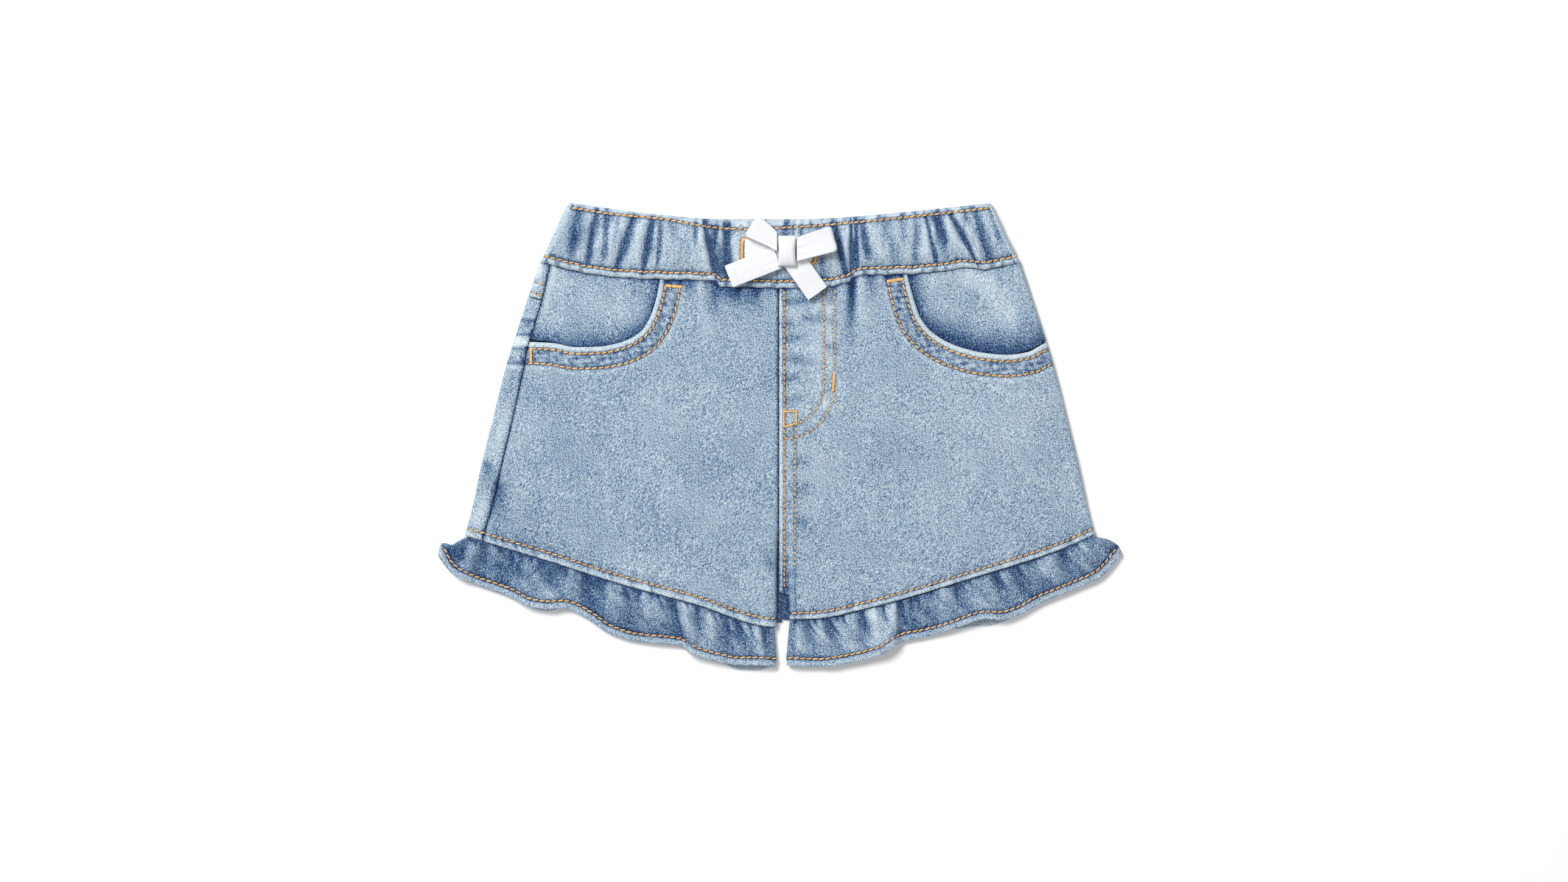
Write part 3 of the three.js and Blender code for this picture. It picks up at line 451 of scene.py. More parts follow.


# Washed denim: indigo warp over white weft, stone washed. The weft shows as short white flecks in
# diagonal lines. Seams and folds are rubbed pale, which the wash attribute carries together with painted
# shade in gathers, creases, stitch grooves, the crotch and under overlapping edges, and painted light on
# raised folds and the lit sides of ridges. The lines are drawn at the twill's real pitch and the
# flecks a little longer than in the cloth, so that they show.
TWILL_PITCH = 0.62
TWILL_ANGLE = 38
FLECK_WIDTH = 0.32
FLECK_LENGTH = 0.85
NAP = 0.45
SLUB_WIDTH = 1.1
SLUB_LENGTH = 14
MOTTLE = 13

# How much each pattern adds to the wash and painted shade
PATTERN_STRENGTH = {"twill": 0.50, "fleck": 1.70, "nap": 0.50, "slub": 0.12, "mottle": 0.14}


def denim(name, steps):
    material, shader = new_material(name, 0.88)
    place = add(material, "ShaderNodeTexCoord").outputs["Object"]
    # The wash attribute holds the denim's fading together with its painted shade and painted light
    wash = add(material, "ShaderNodeAttribute", {"attribute_name": "wash"}).outputs["Fac"]
    turned = add(
        material, "ShaderNodeMapping", Vector=place, Rotation=(0, 0, math.radians(TWILL_ANGLE)),
        Scale=(1 / METRES, 1 / METRES, 1 / METRES),
    ).outputs["Vector"]
    # A band texture repeats every 0.314 of its scaled units, so this scale gives the twill pitch.
    twill = add(
        material, "ShaderNodeTexWave", {"wave_type": "BANDS", "bands_direction": "X"}, Vector=turned,
        Scale=0.314 / TWILL_PITCH, Distortion=0.5, Detail=1, Detail_Scale=0.6,
    ).outputs["Fac"]

    patterns = {"twill": twill}
    for pattern, vector, size, detail in (
        ("fleck", turned, (FLECK_WIDTH, FLECK_LENGTH, FLECK_WIDTH), 1),
        ("nap", place, [NAP * METRES] * 3, 2),
        ("slub", place, (SLUB_WIDTH * METRES, SLUB_LENGTH * METRES, SLUB_WIDTH * METRES), 2),
        ("mottle", place, [MOTTLE * METRES] * 3, 1),
    ):
        stretched = add(material, "ShaderNodeMapping", Vector=vector, Scale=[1 / s for s in size])
        patterns[pattern] = add(
            material, "ShaderNodeTexNoise", Vector=stretched.outputs["Vector"], Scale=1, Detail=detail,
        ).outputs["Fac"]
    total = wash
    for pattern, strength in PATTERN_STRENGTH.items():
        share = add(
            material, "ShaderNodeMath", {"operation": "MULTIPLY_ADD"},
            _0=patterns[pattern], _1=strength, _2=-strength / 2,
        ).outputs[0]
        total = add(material, "ShaderNodeMath", {"operation": "ADD"}, _0=total, _1=share).outputs[0]
    height = add(
        material, "ShaderNodeMath", {"operation": "ADD"}, _0=patterns["fleck"], _1=twill,
    ).outputs[0]
    surface(material, shader, total, steps, height, 0.5, 0.3)
    shader.inputs["Specular IOR Level"].default_value = 0.25
    shader.inputs["Sheen Weight"].default_value = 0.06
    shader.inputs["Sheen Roughness"].default_value = 0.6
    return material


def make_materials():
    steps = [
        (0.0, "#081d4c"), (0.12, "#103a69"), (0.26, "#385e88"), (0.38, "#55799d"), (0.48, "#748faa"),
        (0.57, "#90a6b9"), (0.72, "#b6c9d6"), (0.90, "#dde8ee"),
    ]
    return {
        "denim": denim("stone_washed_denim", steps),
        "tape": cotton_tape(),
        "thread": topstitch_thread(),
    }


# Cotton twill tape: white, close-woven and matt, so that only its edges and folds show
TAPE_RIB = 0.8
TAPE_NAP = 0.6


def cotton_tape():
    material, shader = new_material("cotton_twill_tape", 0.85)
    place = add(material, "ShaderNodeTexCoord").outputs["Object"]
    rib = add(
        material, "ShaderNodeTexWave", {"bands_direction": "DIAGONAL"}, Vector=place,
        Scale=0.314 / (TAPE_RIB * METRES), Distortion=0.6, Detail=1,
    ).outputs["Fac"]
    nap = add(
        material, "ShaderNodeTexNoise", Vector=place, Scale=1 / (TAPE_NAP * METRES), Detail=2,
    ).outputs["Fac"]
    height = add(
        material, "ShaderNodeMath", {"operation": "MULTIPLY_ADD"}, _0=nap, _1=0.5, _2=rib,
    ).outputs[0]
    surface(material, shader, nap, [(0.3, "#dfe1e4"), (0.7, "#eaebed")], height, 0.3, 0.2)
    shader.inputs["Sheen Weight"].default_value = 0.1
    return material


# Topstitch thread: twisted polyester, golden orange, with a slight sheen, and painted shade at each needle
# hole where it dives into the cloth
THREAD_PLY = 0.5


def topstitch_thread():
    material, shader = new_material("polyester_topstitch_thread", 0.5)
    place = add(material, "ShaderNodeTexCoord").outputs["Object"]
    shade = add(material, "ShaderNodeAttribute", {"attribute_name": "wash"}).outputs["Fac"]
    colours = [(0.0, "#2b2019"), (0.30, "#8f612a"), (0.62, "#d39b50"), (1.0, "#f2cc90")]
    ply = add(
        material, "ShaderNodeTexWave", {"bands_direction": "DIAGONAL"}, Vector=place,
        Scale=0.314 / (THREAD_PLY * METRES), Distortion=0.5,
    ).outputs["Fac"]
    total = add(
        material, "ShaderNodeMath", {"operation": "MULTIPLY_ADD"}, _0=ply, _1=0.12, _2=shade,
    ).outputs[0]
    surface(material, shader, total, colours, ply, 0.3, 0.1)
    return material


# Making meshes

def make_object(name, points, faces, wash, material, nodes=()):
    """One piece of the shorts, from points in millimetres."""
    mesh = bpy.data.meshes.new(name)
    mesh.from_pydata((points * METRES).tolist(), [], faces.tolist())
    # The wash attribute carries the cloth's fading, painted shade and painted light
    attribute = mesh.attributes.new("wash", "FLOAT", "POINT")
    attribute.data.foreach_set("value", wash.astype(np.float32))
    mesh.polygons.foreach_set("use_smooth", np.ones(len(mesh.polygons), bool))
    mesh.materials.append(material)
    mesh.update()
    piece = bpy.data.objects.new(name, mesh)
    bpy.context.collection.objects.link(piece)
    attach(piece, "root")
    if nodes:
        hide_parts(*nodes)
    return piece


def grid_quads(rows, columns, offset=0, ring=False):
    r, c = np.meshgrid(np.arange(rows - 1), np.arange(columns if ring else columns - 1), indexing="ij")
    r, c = r.ravel(), c.ravel()
    after = (c + 1) % columns
    here, below = r * columns, (r + 1) * columns
    return offset + np.stack([here + c, here + after, below + after, below + c], 1)


def wall(outer, inner, wash, ring=False, inside=None):
    """Points, faces, and wash with painted shade and light, of a wall between two grids. A ring's columns
    close up.
    """
    rows, columns = outer.shape[:2]
    count = rows * columns
    points = np.concatenate([outer.reshape(-1, 3), inner.reshape(-1, 3)])
    faces = [grid_quads(rows, columns, 0, ring), grid_quads(rows, columns, count, ring)[:, ::-1]]
    borders = [np.arange(columns), (rows - 1) * columns + np.arange(columns)[::-1]]
    if ring:
        borders = [np.append(b, b[0]) for b in borders]
    else:
        borders.append(np.arange(rows)[::-1] * columns)
        borders.append(np.arange(rows) * columns + columns - 1)
    for b in borders:
        faces.append(np.stack([b[1:], b[:-1], b[:-1] + count, b[1:] + count], 1))
    faces = np.concatenate(faces)
    a, b, c, d = (points[faces[:, k]] for k in range(4))
    volume = np.einsum("ij,ij->i", a, np.cross(b, c)) + np.einsum("ij,ij->i", a, np.cross(c, d))
    if volume.sum() < 0:
        faces = faces[:, ::-1]
    under = wash if inside is None else np.full(wash.shape, inside)
    return points, faces, np.concatenate([wash.ravel(), under.ravel()])


def crease_field(rows, x, y):
    """Relief and painted shade of creases, each deepest at its first end: x, y, x, y, half width, depth,
    shade. A negative shade paints light.
    """
    relief = np.zeros_like(x)
    shade = np.zeros_like(x)
    for x1, y1, x2, y2, half, depth, dark in rows:
        dx, dy = x2 - x1, y2 - y1
        t = np.clip(((x - x1) * dx + (y - y1) * dy) / (dx * dx + dy * dy), 0, 1)
        off = np.hypot(x - x1 - t * dx, y - y1 - t * dy)
        shape = (1 - smooth(t)) * bell(off, half * (1 + 0.5 * t))
        relief -= depth * shape
        shade -= dark * shape
    return relief, shade


def uneven(x, y, pitch, seed):
    """Smooth unevenness from -1 to 1, of about that pitch, made of a few waves that never line up."""
    draw = np.random.default_rng(seed)
    total = np.zeros(np.broadcast(x, y).shape)
    for _ in range(6):
        angle, phase = draw.uniform(0, 2 * math.pi, 2)
        step = 2 * math.pi / (pitch * draw.uniform(0.7, 1.6))
        total += np.sin((x * math.cos(angle) + y * math.sin(angle)) * step + phase)
    return total / 3


def distance_to(line, x, y):
    """Shortest distance to a polyline, at each point near it."""
    best = np.full(x.shape, 1e3)
    for (x1, y1), (x2, y2) in zip(line[:-1], line[1:]):
        dx, dy = x2 - x1, y2 - y1
        t = np.clip(((x - x1) * dx + (y - y1) * dy) / (dx * dx + dy * dy), 0, 1)
        best = np.minimum(best, np.hypot(x - x1 - t * dx, y - y1 - t * dy))
    return best


# The body's skin. along is the distance from the centre line measured over the cloth, so that it runs on
# round the side fold, and the front and the underside each have their own relief, and wash with painted
# shade and light.

def side_length(y):
    """How far it is over the cloth from the centre line to the outermost line of the side fold."""
    return half_width(y) - FOLD_RADIUS + QUARTER_TURN


def seam_along(y):
    return side_length(y) - (seam_inset(y) + QUARTER_TURN - FOLD_RADIUS)


def crotch_roll(x, y):
    """How far down the legs' inner edges have rolled, 0 on the flat and 1 at the bottom of the crotch."""
    deep = smooth((CROTCH_TOP - y) / 10)
    away = np.maximum(0, np.maximum(CROTCH_RIGHT_EDGE - x, x - CROTCH_LEFT_EDGE))
    t = np.clip(away / CROTCH_ROLL, 0, 1)
    return deep * (1 - np.sqrt(1 - (1 - t) ** 2))


def body_point(sign, s, y, depth, relief, drop=0):
    """A point of the body: s is measured from the side fold, positive on to the front."""
    centre = half_width(y) - FOLD_RADIUS
    angle = np.clip(s / FOLD_RADIUS, -math.pi / 2, math.pi / 2)
    radius = FOLD_RADIUS - depth + relief
    past = np.maximum(np.abs(s) - QUARTER_TURN, 0)
    x = centre - past + radius * np.cos(angle)
    flat_front = 2 * FOLD_RADIUS + CROWN * smooth(past / CROWN_REACH)
    front = mix(flat_front, CROTCH_FLOOR, crotch_roll(sign * x, y)) - depth - drop + relief
    under = np.maximum(depth - relief, 0)
    round_fold = FOLD_RADIUS + radius * np.sin(angle)
    z = np.where(s > QUARTER_TURN, front, np.where(s < -QUARTER_TURN, under, round_fold))
    return np.stack(np.broadcast_arrays(sign * x, y, np.maximum(z, 0)), -1)


# Front creases: x, y, x, y, half width, depth, shade. The shade is painted into each crease, and where it is
# negative it paints light on a ridge. The first lie below the waistband's pleats.
FRONT_CREASES = [
    (-30, 73, -33, 50, 3.4, 0.7, 0.34),
    (-20, 71, -12, 58, 4.5, 0.3, 0.26),
    (34.4, 77, 33.4, 40, 1.8, 1.2, 0.72),
    (38.4, 76, 40.0, 36, 3.0, -0.4, -0.16),
    (-36, 68, -31, 36, 2.6, -0.3, -0.10),
    (-24, 71, -22, 58, 1.8, 0.5, 0.25),
    (26, 72, 27, 60, 1.8, 0.4, 0.25),
    (-45, 74, -46, 60, 2.6, 0.3, 0.15),
    (-12, 71, -14, 58, 2.2, 0.3, 0.18),
    (43, 76, 45, 62, 2.0, 0.35, 0.20),
    (50, 76, 50, 67, 1.6, 0.3, 0.22),
    (-134, -24, -137, -46, 4, 0.5, 0.35),
    (-139, -14, -136, -24, 2.5, 0.3, 0.25),
    (4, 64, 30, 66, 2.0, 0.3, 0.30),
    (12, 56, 33, 55, 1.8, 0.3, 0.30),
    (2, 53, 14, 55, 2.0, 0.2, 0.24),
    (3, 46, 20, 49, 2.2, 0.3, 0.30),
    (24, 43, 31, 40, 2.6, 0.2, 0.24),
    (5, 37, 24, 33, 2.2, 0.3, 0.28),
    (3, 27, 18, 30, 2.0, 0.3, 0.26),
    (4, 17, 17, 19, 2.2, 0.3, 0.22),
    (9, -12, 17, -14, 2.4, 0.3, 0.22),
    (9, -26, 19, -23, 2.6, 0.3, 0.22),
    (9, -40, 15, -44, 2.4, 0.3, 0.20),
    (-4, -62, -10, -48, 2.2, 0.3, 0.2),
    (-125, -35, -55, -62, 26, 0, 0.05),
    (95, 12, 70, -50, 42, 0, -0.05),
]

# Similar soft creases on the underside, with painted shade
BACK_CREASES = [
    (-34, 72, -36, 54, 3.0, 0.5, 0.28),
    (-8, 72, -7, 58, 2.2, 0.4, 0.25),
    (20, 74, 21, 60, 2.6, 0.4, 0.25),
    (46, 75, 49, 56, 3.0, 0.5, 0.30),
    (-72, 72, -76, 58, 2.4, 0.4, 0.22),
    (80, 76, 84, 62, 2.4, 0.4, 0.22),
    (-6, -30, -22, -18, 3.0, 0.4, 0.22),
    (8, -34, 24, -20, 3.0, 0.4, 0.22),
    (-5, -52, -16, -44, 2.4, 0.3, 0.18),
    (7, -54, 20, -46, 2.4, 0.3, 0.18),
]

# The wash of each flat part: 0 is unwashed indigo and 1 is faded to white
FRONT_WASH = 0.57
BACK_WASH = 0.56
FACING_WASH = 0.62
BAND_WASH = 0.62

HEM_BAND = {"right": 3.9, "left": 3.0}
POCKET_ROWS = (3.2, 10.2)
YOKE_ROWS = (1.8, 7.7)
YOKE_STRIP_X = -116
YOKE_STRIP_SLOPE = 0.35
BACK_YOKE_ROWS = (1.6, 7.6)
SEAT_ROWS = (2.0, 7.4)
BACK_CHANNEL = 0.5
BACK_TOP_ROW = 2.8
CENTRE_ROWS = (2.0, 7.2)
CENTRE_ROW_ENDS = ((69.5, -72), (4.5, -62))
FLY_CENTRE = (1.8, 25.0)
FLY_ROWS = ((21.0, 20.3), (26.2, 26.2))
FLY_BOX = [(1.8, 11.7), (7.9, 12.0), (7.6, 6.2), (1.8, 4.5)]
FLY_TACK = ((25.7, 29.6), (25.0, 21.6))
BARTACK_WIDTH = 1.7
POCKET_TACKS = {
    "right": [((-118.5, 41.8), (-118.3, 34.8)), ((-54.2, 71.6), (-46.6, 71.0))],
    "left": [((51.0, 73.7), (58.4, 74.8))],
}

# The darker patch between the pocket rows over each upper bartack: left, right, bottom and top
POCKET_TOPS = {"right": [(-53.6, -47.0, 72.2, 76)], "left": [(51.6, 58.0, 75.4, 79)]}


def yoke_strip_y(x):
    """The yoke's lower edge on the strip of the back that turns on to the front."""
    return YOKE_SIDE - YOKE_STRIP_SLOPE * (x - YOKE_STRIP_X)


def mouth_line(leg):
    """The pocket mouth as a polyline, from under the waistband to the side."""
    rows = POCKET_MOUTH[leg]
    x = np.concatenate([
        np.linspace(rows[0][0], rows[3][0], 30, endpoint=False), np.linspace(rows[3][0], rows[-1][0], 60),
    ])
    return list(zip(x, pocket_mouth[leg](x)))


def channel(offset, half=0.7):
    """The groove that a row of stitches pulls into the cloth, as a share of its depth."""
    return bell(offset, half)


def fly_line(reach, drop):
    """A row of the mock fly's J: straight down, then round to the centre seam."""
    angle = np.linspace(0, math.pi / 2, 60)
    x = FLY_CENTRE[0] + (reach - FLY_CENTRE[0]) * np.cos(angle)
    y = FLY_CENTRE[1] - drop * np.sin(angle)
    down = np.linspace(70, FLY_CENTRE[1], 80, endpoint=False)
    return np.stack([np.append(np.full(80, reach), x), np.append(down, y)], 1)


def front_relief(leg, x, y):
    """Relief, and wash with painted shade and light, of the front, at x measured over the cloth."""
    sign = SIGN[leg]
    relief, wash = crease_field(FRONT_CREASES, x, y)
    relief += 0.14 * uneven(x, y, 34, 11)
    wash += FRONT_WASH + 0.03 * uneven(x, y, 46, 12)

    # Leg hem: a doubled band under one row, puckered, with a rubbed edge; its row's groove and the seam
    # below are painted in shade
    hem = y - leg_hem[leg](x)
    band = HEM_BAND[leg]
    pucker = uneven(x, y * 0.25, 5.5, 13)
    rope = uneven(x + 0.5 * y, y * 0.2, 2.6, 19)
    in_band = smooth((band + 0.5 - hem) / 0.9)
    relief += HEM_THICKENING * in_band + 0.16 * pucker * bell(hem - band * 0.4, band)
    relief -= 0.35 * channel(hem - band) + 0.5 * smooth((1.0 - hem) / 1.0)
    wash += in_band * (0.04 + 0.12 * pucker + 0.09 * rope)
    wash += 0.20 * bell(hem - 0.9, 0.8) - 0.12 * bell(hem, 0.35)
    wash -= 0.44 * channel(hem - band, 0.8) + 0.10 * bell(hem - band - 2.2, 1.6) * (0.5 - 0.8 * pucker)

    # Under the waistband: the painted shadow of its lip, and the small gathers that run out of its seam,
    # painted paler where they rise and darker where they sink
    below_lip = np.maximum(front_lip(x) - JOIN_GAP - y, 0)
    gather = uneven(x, 0 * y, 6, 14)
    relief += 0.25 * gather * np.exp(-below_lip / 7)
    wash += 0.16 * gather * np.exp(-below_lip / 6)
    wash -= 0.40 * np.exp(-below_lip / 0.9) + 0.08 * np.exp(-below_lip / 5)

    # Centre seam: the wearer's left front laps over, with a rubbed ridge beside it; the seam and the grooves
    # of its rows are painted in shade
    centre = x - CENTRE_FRONT
    if leg == "left":
        relief += 0.40 * bell(centre - 1.3, 1.1) * smooth((y + 84) / 8)
        wash += 0.38 * bell(centre - 1.1, 0.75) - 0.30 * bell(centre - 0.05, 0.3)
    else:
        relief -= 0.30 * bell(centre, 1.2)
        wash -= 0.32 * bell(centre, 0.9)
    for row in CENTRE_ROWS:
        inside = smooth((8 - y) / 4) if row > CENTRE_ROWS[0] else 1
        relief -= 0.22 * channel(x - row) * inside
        wash -= 0.24 * channel(x - row, 0.8) * inside
    wash += 0.14 * bell(x - 4.8, 1.6) * smooth((4 - y) / 8) * uneven(x, y, 6, 15)
    # Painted shade: the valley between the legs is darker towards the bottom of the crotch
    in_valley = smooth((x - CROTCH_RIGHT_EDGE) / 2.0) * smooth((CROTCH_LEFT_EDGE + 1.2 - x) / 2.0)
    wash -= 0.32 * in_valley * smooth((-42 - y) / 32)
    if leg == "left":
        wash += 0.10 * smooth((x - 2) / 3) * smooth((32 - x) / 8) * smooth((y - 4) / 14)
        # The J's rows lie in grooves painted in shade
        for reach, drop in FLY_ROWS:
            from_fly = distance_to(fly_line(reach, drop), x, y)
            relief -= 0.22 * channel(from_fly)
            wash -= 0.13 * channel(from_fly, 0.9) + 0.07 * bell(from_fly - 2.4, 1.6) * uneven(x, y, 8, 18)

    # Pocket mouth: a rolled, rubbed edge and two rows in grooves painted in shade, with the cloth between
    # them pulled and bluer
    from_mouth = distance_to(mouth_line(leg), x, y)
    relief += 0.45 * bell(from_mouth - 1.4, 1.3) - 0.55 * smooth((0.9 - from_mouth) / 0.9)
    wash += 0.27 * smooth((3.0 - from_mouth) / 1.2)
    for row in POCKET_ROWS:
        relief -= 0.28 * channel(from_mouth - row)
        wash -= 0.46 * channel(from_mouth - row, 0.8)
    between = smooth((from_mouth - 3.6) / 0.8) * smooth((9.8 - from_mouth) / 0.8)
    along = uneven(x + y, x - y, 5.5, 16)
    wash -= between * (0.11 - 0.20 * along)
    relief += 0.2 * along * between
    wash += 0.10 * bell(from_mouth - 12.0, 1.1)
    for left, right, low, high in POCKET_TOPS[leg]:
        across = smooth((x - left) / 0.5) * smooth((right - x) / 0.5)
        wash -= 0.25 * across * smooth((y - low) / 0.5) * smooth((high - y) / 0.5)

    # Side seam that has turned on to the front, with a ridge along it below the waistband; the seam, the
    # line under the yoke's edge and the yoke rows' grooves are painted in shade
    seam = sign * x - seam_along(y)
    if leg == "right":
        relief += 0.40 * bell(seam + 1.8, 1.3) - 0.45 * bell(seam, 0.7)
        wash += 0.22 * bell(seam + 1.9, 1.3) * smooth((y - 30) / 30) + 0.06 * bell(seam + 1.9, 1.3)
        wash -= 0.30 * bell(seam, 0.9)
        wash += (0.12 + 0.14 * uneven(x, y, 22, 17)) * bell(seam - 4.8, 3.4)
        yoke = y - yoke_strip_y(x)
        on_strip = smooth(seam / 0.6)
        wash += on_strip * (0.22 * bell(yoke - 0.9, 0.7) - 0.34 * bell(yoke + 0.4, 0.5))
        for row in YOKE_ROWS:
            wash -= 0.30 * on_strip * channel(yoke - row, 0.8)
    rim = sign * x - side_length(y)
    wash += 0.08 * bell(rim, 2.2)
    return relief, wash


def back_relief(leg, x, y):
    """Relief and wash of the underside, with painted shade in its creases and in the grooves of its rows."""
    relief, wash = crease_field(BACK_CREASES, x, y)
    wash = 0.55 * wash + BACK_WASH + 0.05 * uneven(x, y, 40, 21)
    hem = y - leg_hem[leg](x)
    band = HEM_BAND[leg]
    pucker = uneven(x, y * 0.25, 5.5, 22)
    wash += 0.13 * smooth((band + 0.5 - hem) / 0.9) * (0.6 + 0.7 * pucker) - 0.3 * channel(hem - band, 0.9)
    relief -= BACK_CHANNEL * channel(hem - band, 0.9)
    yoke = y - yoke_y(x)
    centre = x - CENTRE_BACK
    wash += 0.2 * bell(yoke - 0.5, 1.0) + 0.2 * bell(centre, 1.2)
    for from_row in [yoke - row for row in BACK_YOKE_ROWS] + [centre - row for row in SEAT_ROWS]:
        relief -= BACK_CHANNEL * channel(from_row, 0.9)
        wash -= 0.3 * channel(from_row, 0.9)
    seam = SIGN[leg] * x - seam_along(y)
    if leg == "left":
        wash += 0.2 * bell(seam, 1.3)
    return relief, wash


def yoke_y(x):
    return mix(YOKE_CENTRE, YOKE_SIDE, np.clip(np.abs(x) / YOKE_REACH, 0, 1))


def panel(
    leg, name, nodes, columns, rows, from_s, to_s, top, bottom, thick, shares=None, drop=None, inside=None,
):
    """A panel of the body between two lines of s, and between a top and a bottom line."""
    sign = SIGN[leg]
    u = np.linspace(0, 1, columns) if shares is None else shares
    u, v = np.meshgrid(u, np.linspace(0, 1, rows))
    y = mix(top(sign * WAIST_HALF + 0 * v, 0 * v), bottom(sign * HEM_HALF + 0 * v, 0 * v), v)
    for _ in range(12):
        s = mix(from_s(y), to_s(y), u)
        x = body_point(sign, s, y, 0, 0)[..., 0]
        y = mix(top(x, s), bottom(x, s), v)
    over_front = sign * (side_length(y) - s)
    over_back = sign * (side_length(y) + s)
    # The wash of each face carries painted shade and light
    relief_front, wash_and_shade_front = front_relief(leg, over_front, y)
    relief_back, wash_and_shade_back = back_relief(leg, over_back, y)
    facing_up = smooth(s / QUARTER_TURN / 2 + 0.5)
    if drop is not None:
        relief_front, wash_and_shade_front = facing_relief(leg, over_front, y)
    relief_front = relief_front * smooth(s / QUARTER_TURN)
    relief_back = relief_back * smooth(-s / QUARTER_TURN)
    relief = np.where(s > 0, relief_front, relief_back)
    wash = mix(wash_and_shade_back, wash_and_shade_front, facing_up)
    lowered = 0 if drop is None else np.where(s > 0, drop(x, y), 0)
    outer = body_point(sign, s, y, 0, relief, lowered)
    inner = body_point(sign, s, y, thick, np.clip(relief, -0.5, 0.2), lowered)
    points, faces, tones = wall(outer, inner, wash, inside=inside)
    return make_object(name, points, faces, tones, CLOTHS["denim"], nodes)


def s_from_x(y, x):
    return half_width(y) - FOLD_RADIUS - np.abs(x) + QUARTER_TURN


def side_seam_s(sign, y):
    return -sign * (seam_inset(y) + QUARTER_TURN - FOLD_RADIUS)


def centre_front_s(sign, y):
    if sign < 0:
        apart = smooth((CROTCH_TOP - y) / 26)
        return s_from_x(y, mix(CENTRE_FRONT - SEAM_GAP / 2, CROTCH_RIGHT_EDGE + 0.2, apart))
    below = smooth((CROTCH_FRONT - y) / 1.5)
    return s_from_x(y, 0) - mix(CENTRE_FRONT + SEAM_GAP / 2, CROTCH_LEFT_EDGE, below)


def centre_back_s(sign, y):
    return -s_from_x(y, 0) + sign * CENTRE_BACK + SEAM_GAP / 2


def make_front(leg):
    sign = SIGN[leg]

    def top(x, s):
        lip = front_lip(x) - JOIN_GAP
        return np.where(s < 0, MOUTH_AT_SIDE, np.minimum(lip, pocket_mouth[leg](x)))

    # More columns where the mouth turns up steeply
    u = np.linspace(0, 1, 600)
    turn = {"right": 0.50, "left": 0.52}[leg]
    density = np.cumsum(1 + 2.2 * bell(u - turn, 0.07))
    shares = np.interp(np.linspace(density[0], density[-1], 190), density, u)
    return panel(
        leg, f"denim_front_{leg}", [f"front_{leg}"], 190, 190,
        lambda y: side_seam_s(sign, y) + SEAM_GAP / 2, lambda y: centre_front_s(sign, y),
        top, lambda x, s: leg_hem[leg](x), DENIM, shares,
    )


def facing_relief(leg, x, y):
    """The facing lies smooth, is darker by the pocket mouth, painted shade from the mouth's edge with the
    blue that it keeps there, and is faded above.
    """
    near = distance_to(mouth_line(leg), x, y)
    below_lip = np.maximum(front_lip(x) - y, 0)
    gather = uneven(x, 0 * y, 6, 33)
    shade_and_blue, at_foot, at_side = FACING_SHADE[leg]
    reach = mix(at_foot, at_side, smooth((y - 46) / 18))
    wash = FACING_WASH + 0.05 * uneven(x, y, 18, 31) - shade_and_blue * np.exp(-near / reach)
    # Painted shadow under the waistband's lip, with its small gathers paler and darker
    wash += 0.10 * gather * np.exp(-below_lip / 5) - 0.38 * np.exp(-below_lip / 0.9)
    if leg == "left":
        wash += 0.13 * bell(distance_to(FACING_FADE, x, y), 4.5)
    else:
        # On the right the side seam is painted in shade, with a pale ridge beside it
        seam = seam_along(y) + x
        wash += 0.20 * bell(seam - 2.2, 1.6) * smooth((y - 42) / 26) - 0.32 * bell(seam, 0.8)
    return 0.15 * uneven(x, y, 16, 32), wash


def make_facing(leg):
    sign = SIGN[leg]

    def sunk(x, y):
        from_fold = half_width(y) - FOLD_RADIUS - 1 - np.abs(x)
        return (DENIM + SEAM_GAP) * smooth(from_fold / FACING_SINKS_OVER)

    return panel(
        leg, f"denim_pocket_facing_{leg}", [f"pocket_facing_{leg}"], 100, 60,
        lambda y: side_seam_s(sign, y) + SEAM_GAP / 2, lambda y: s_from_x(y, FACING_INNER[leg]),
        lambda x, s: front_lip(x) - JOIN_GAP,
        lambda x, s: np.where(s < 0, MOUTH_AT_SIDE + SEAM_GAP, facing_edge[leg](x)), FACING,
        drop=sunk,
    )


def make_yoke(leg):
    sign = SIGN[leg]
    return panel(
        leg, f"denim_yoke_{leg}", [f"yoke_{leg}"], 120, 28,
        lambda y: side_seam_s(sign, y) - SEAM_GAP / 2, lambda y: centre_back_s(sign, y),
        lambda x, s: back_lip(x) - JOIN_GAP, lambda x, s: yoke_y(x) + SEAM_GAP / 2, DENIM,
    )


def make_back(leg):
    sign = SIGN[leg]

    def bottom(x, s):
        corner = smooth((x - CROTCH_RIGHT_EDGE + 0.6) / 0.8) if leg == "right" else 0
        return leg_hem[leg](x) + CROTCH_CORNER * corner

    # The inner face is painted dark blue, as painted shade where it shows through the crotch; the wrong side
    # of denim is paler
    return panel(
        leg, f"denim_back_{leg}", [f"back_{leg}"], 150, 120,
        lambda y: side_seam_s(sign, y) - SEAM_GAP / 2, lambda y: centre_back_s(sign, y),
        lambda x, s: yoke_y(x) - SEAM_GAP / 2, bottom, DENIM, inside=0.14,
    )


# Waistband

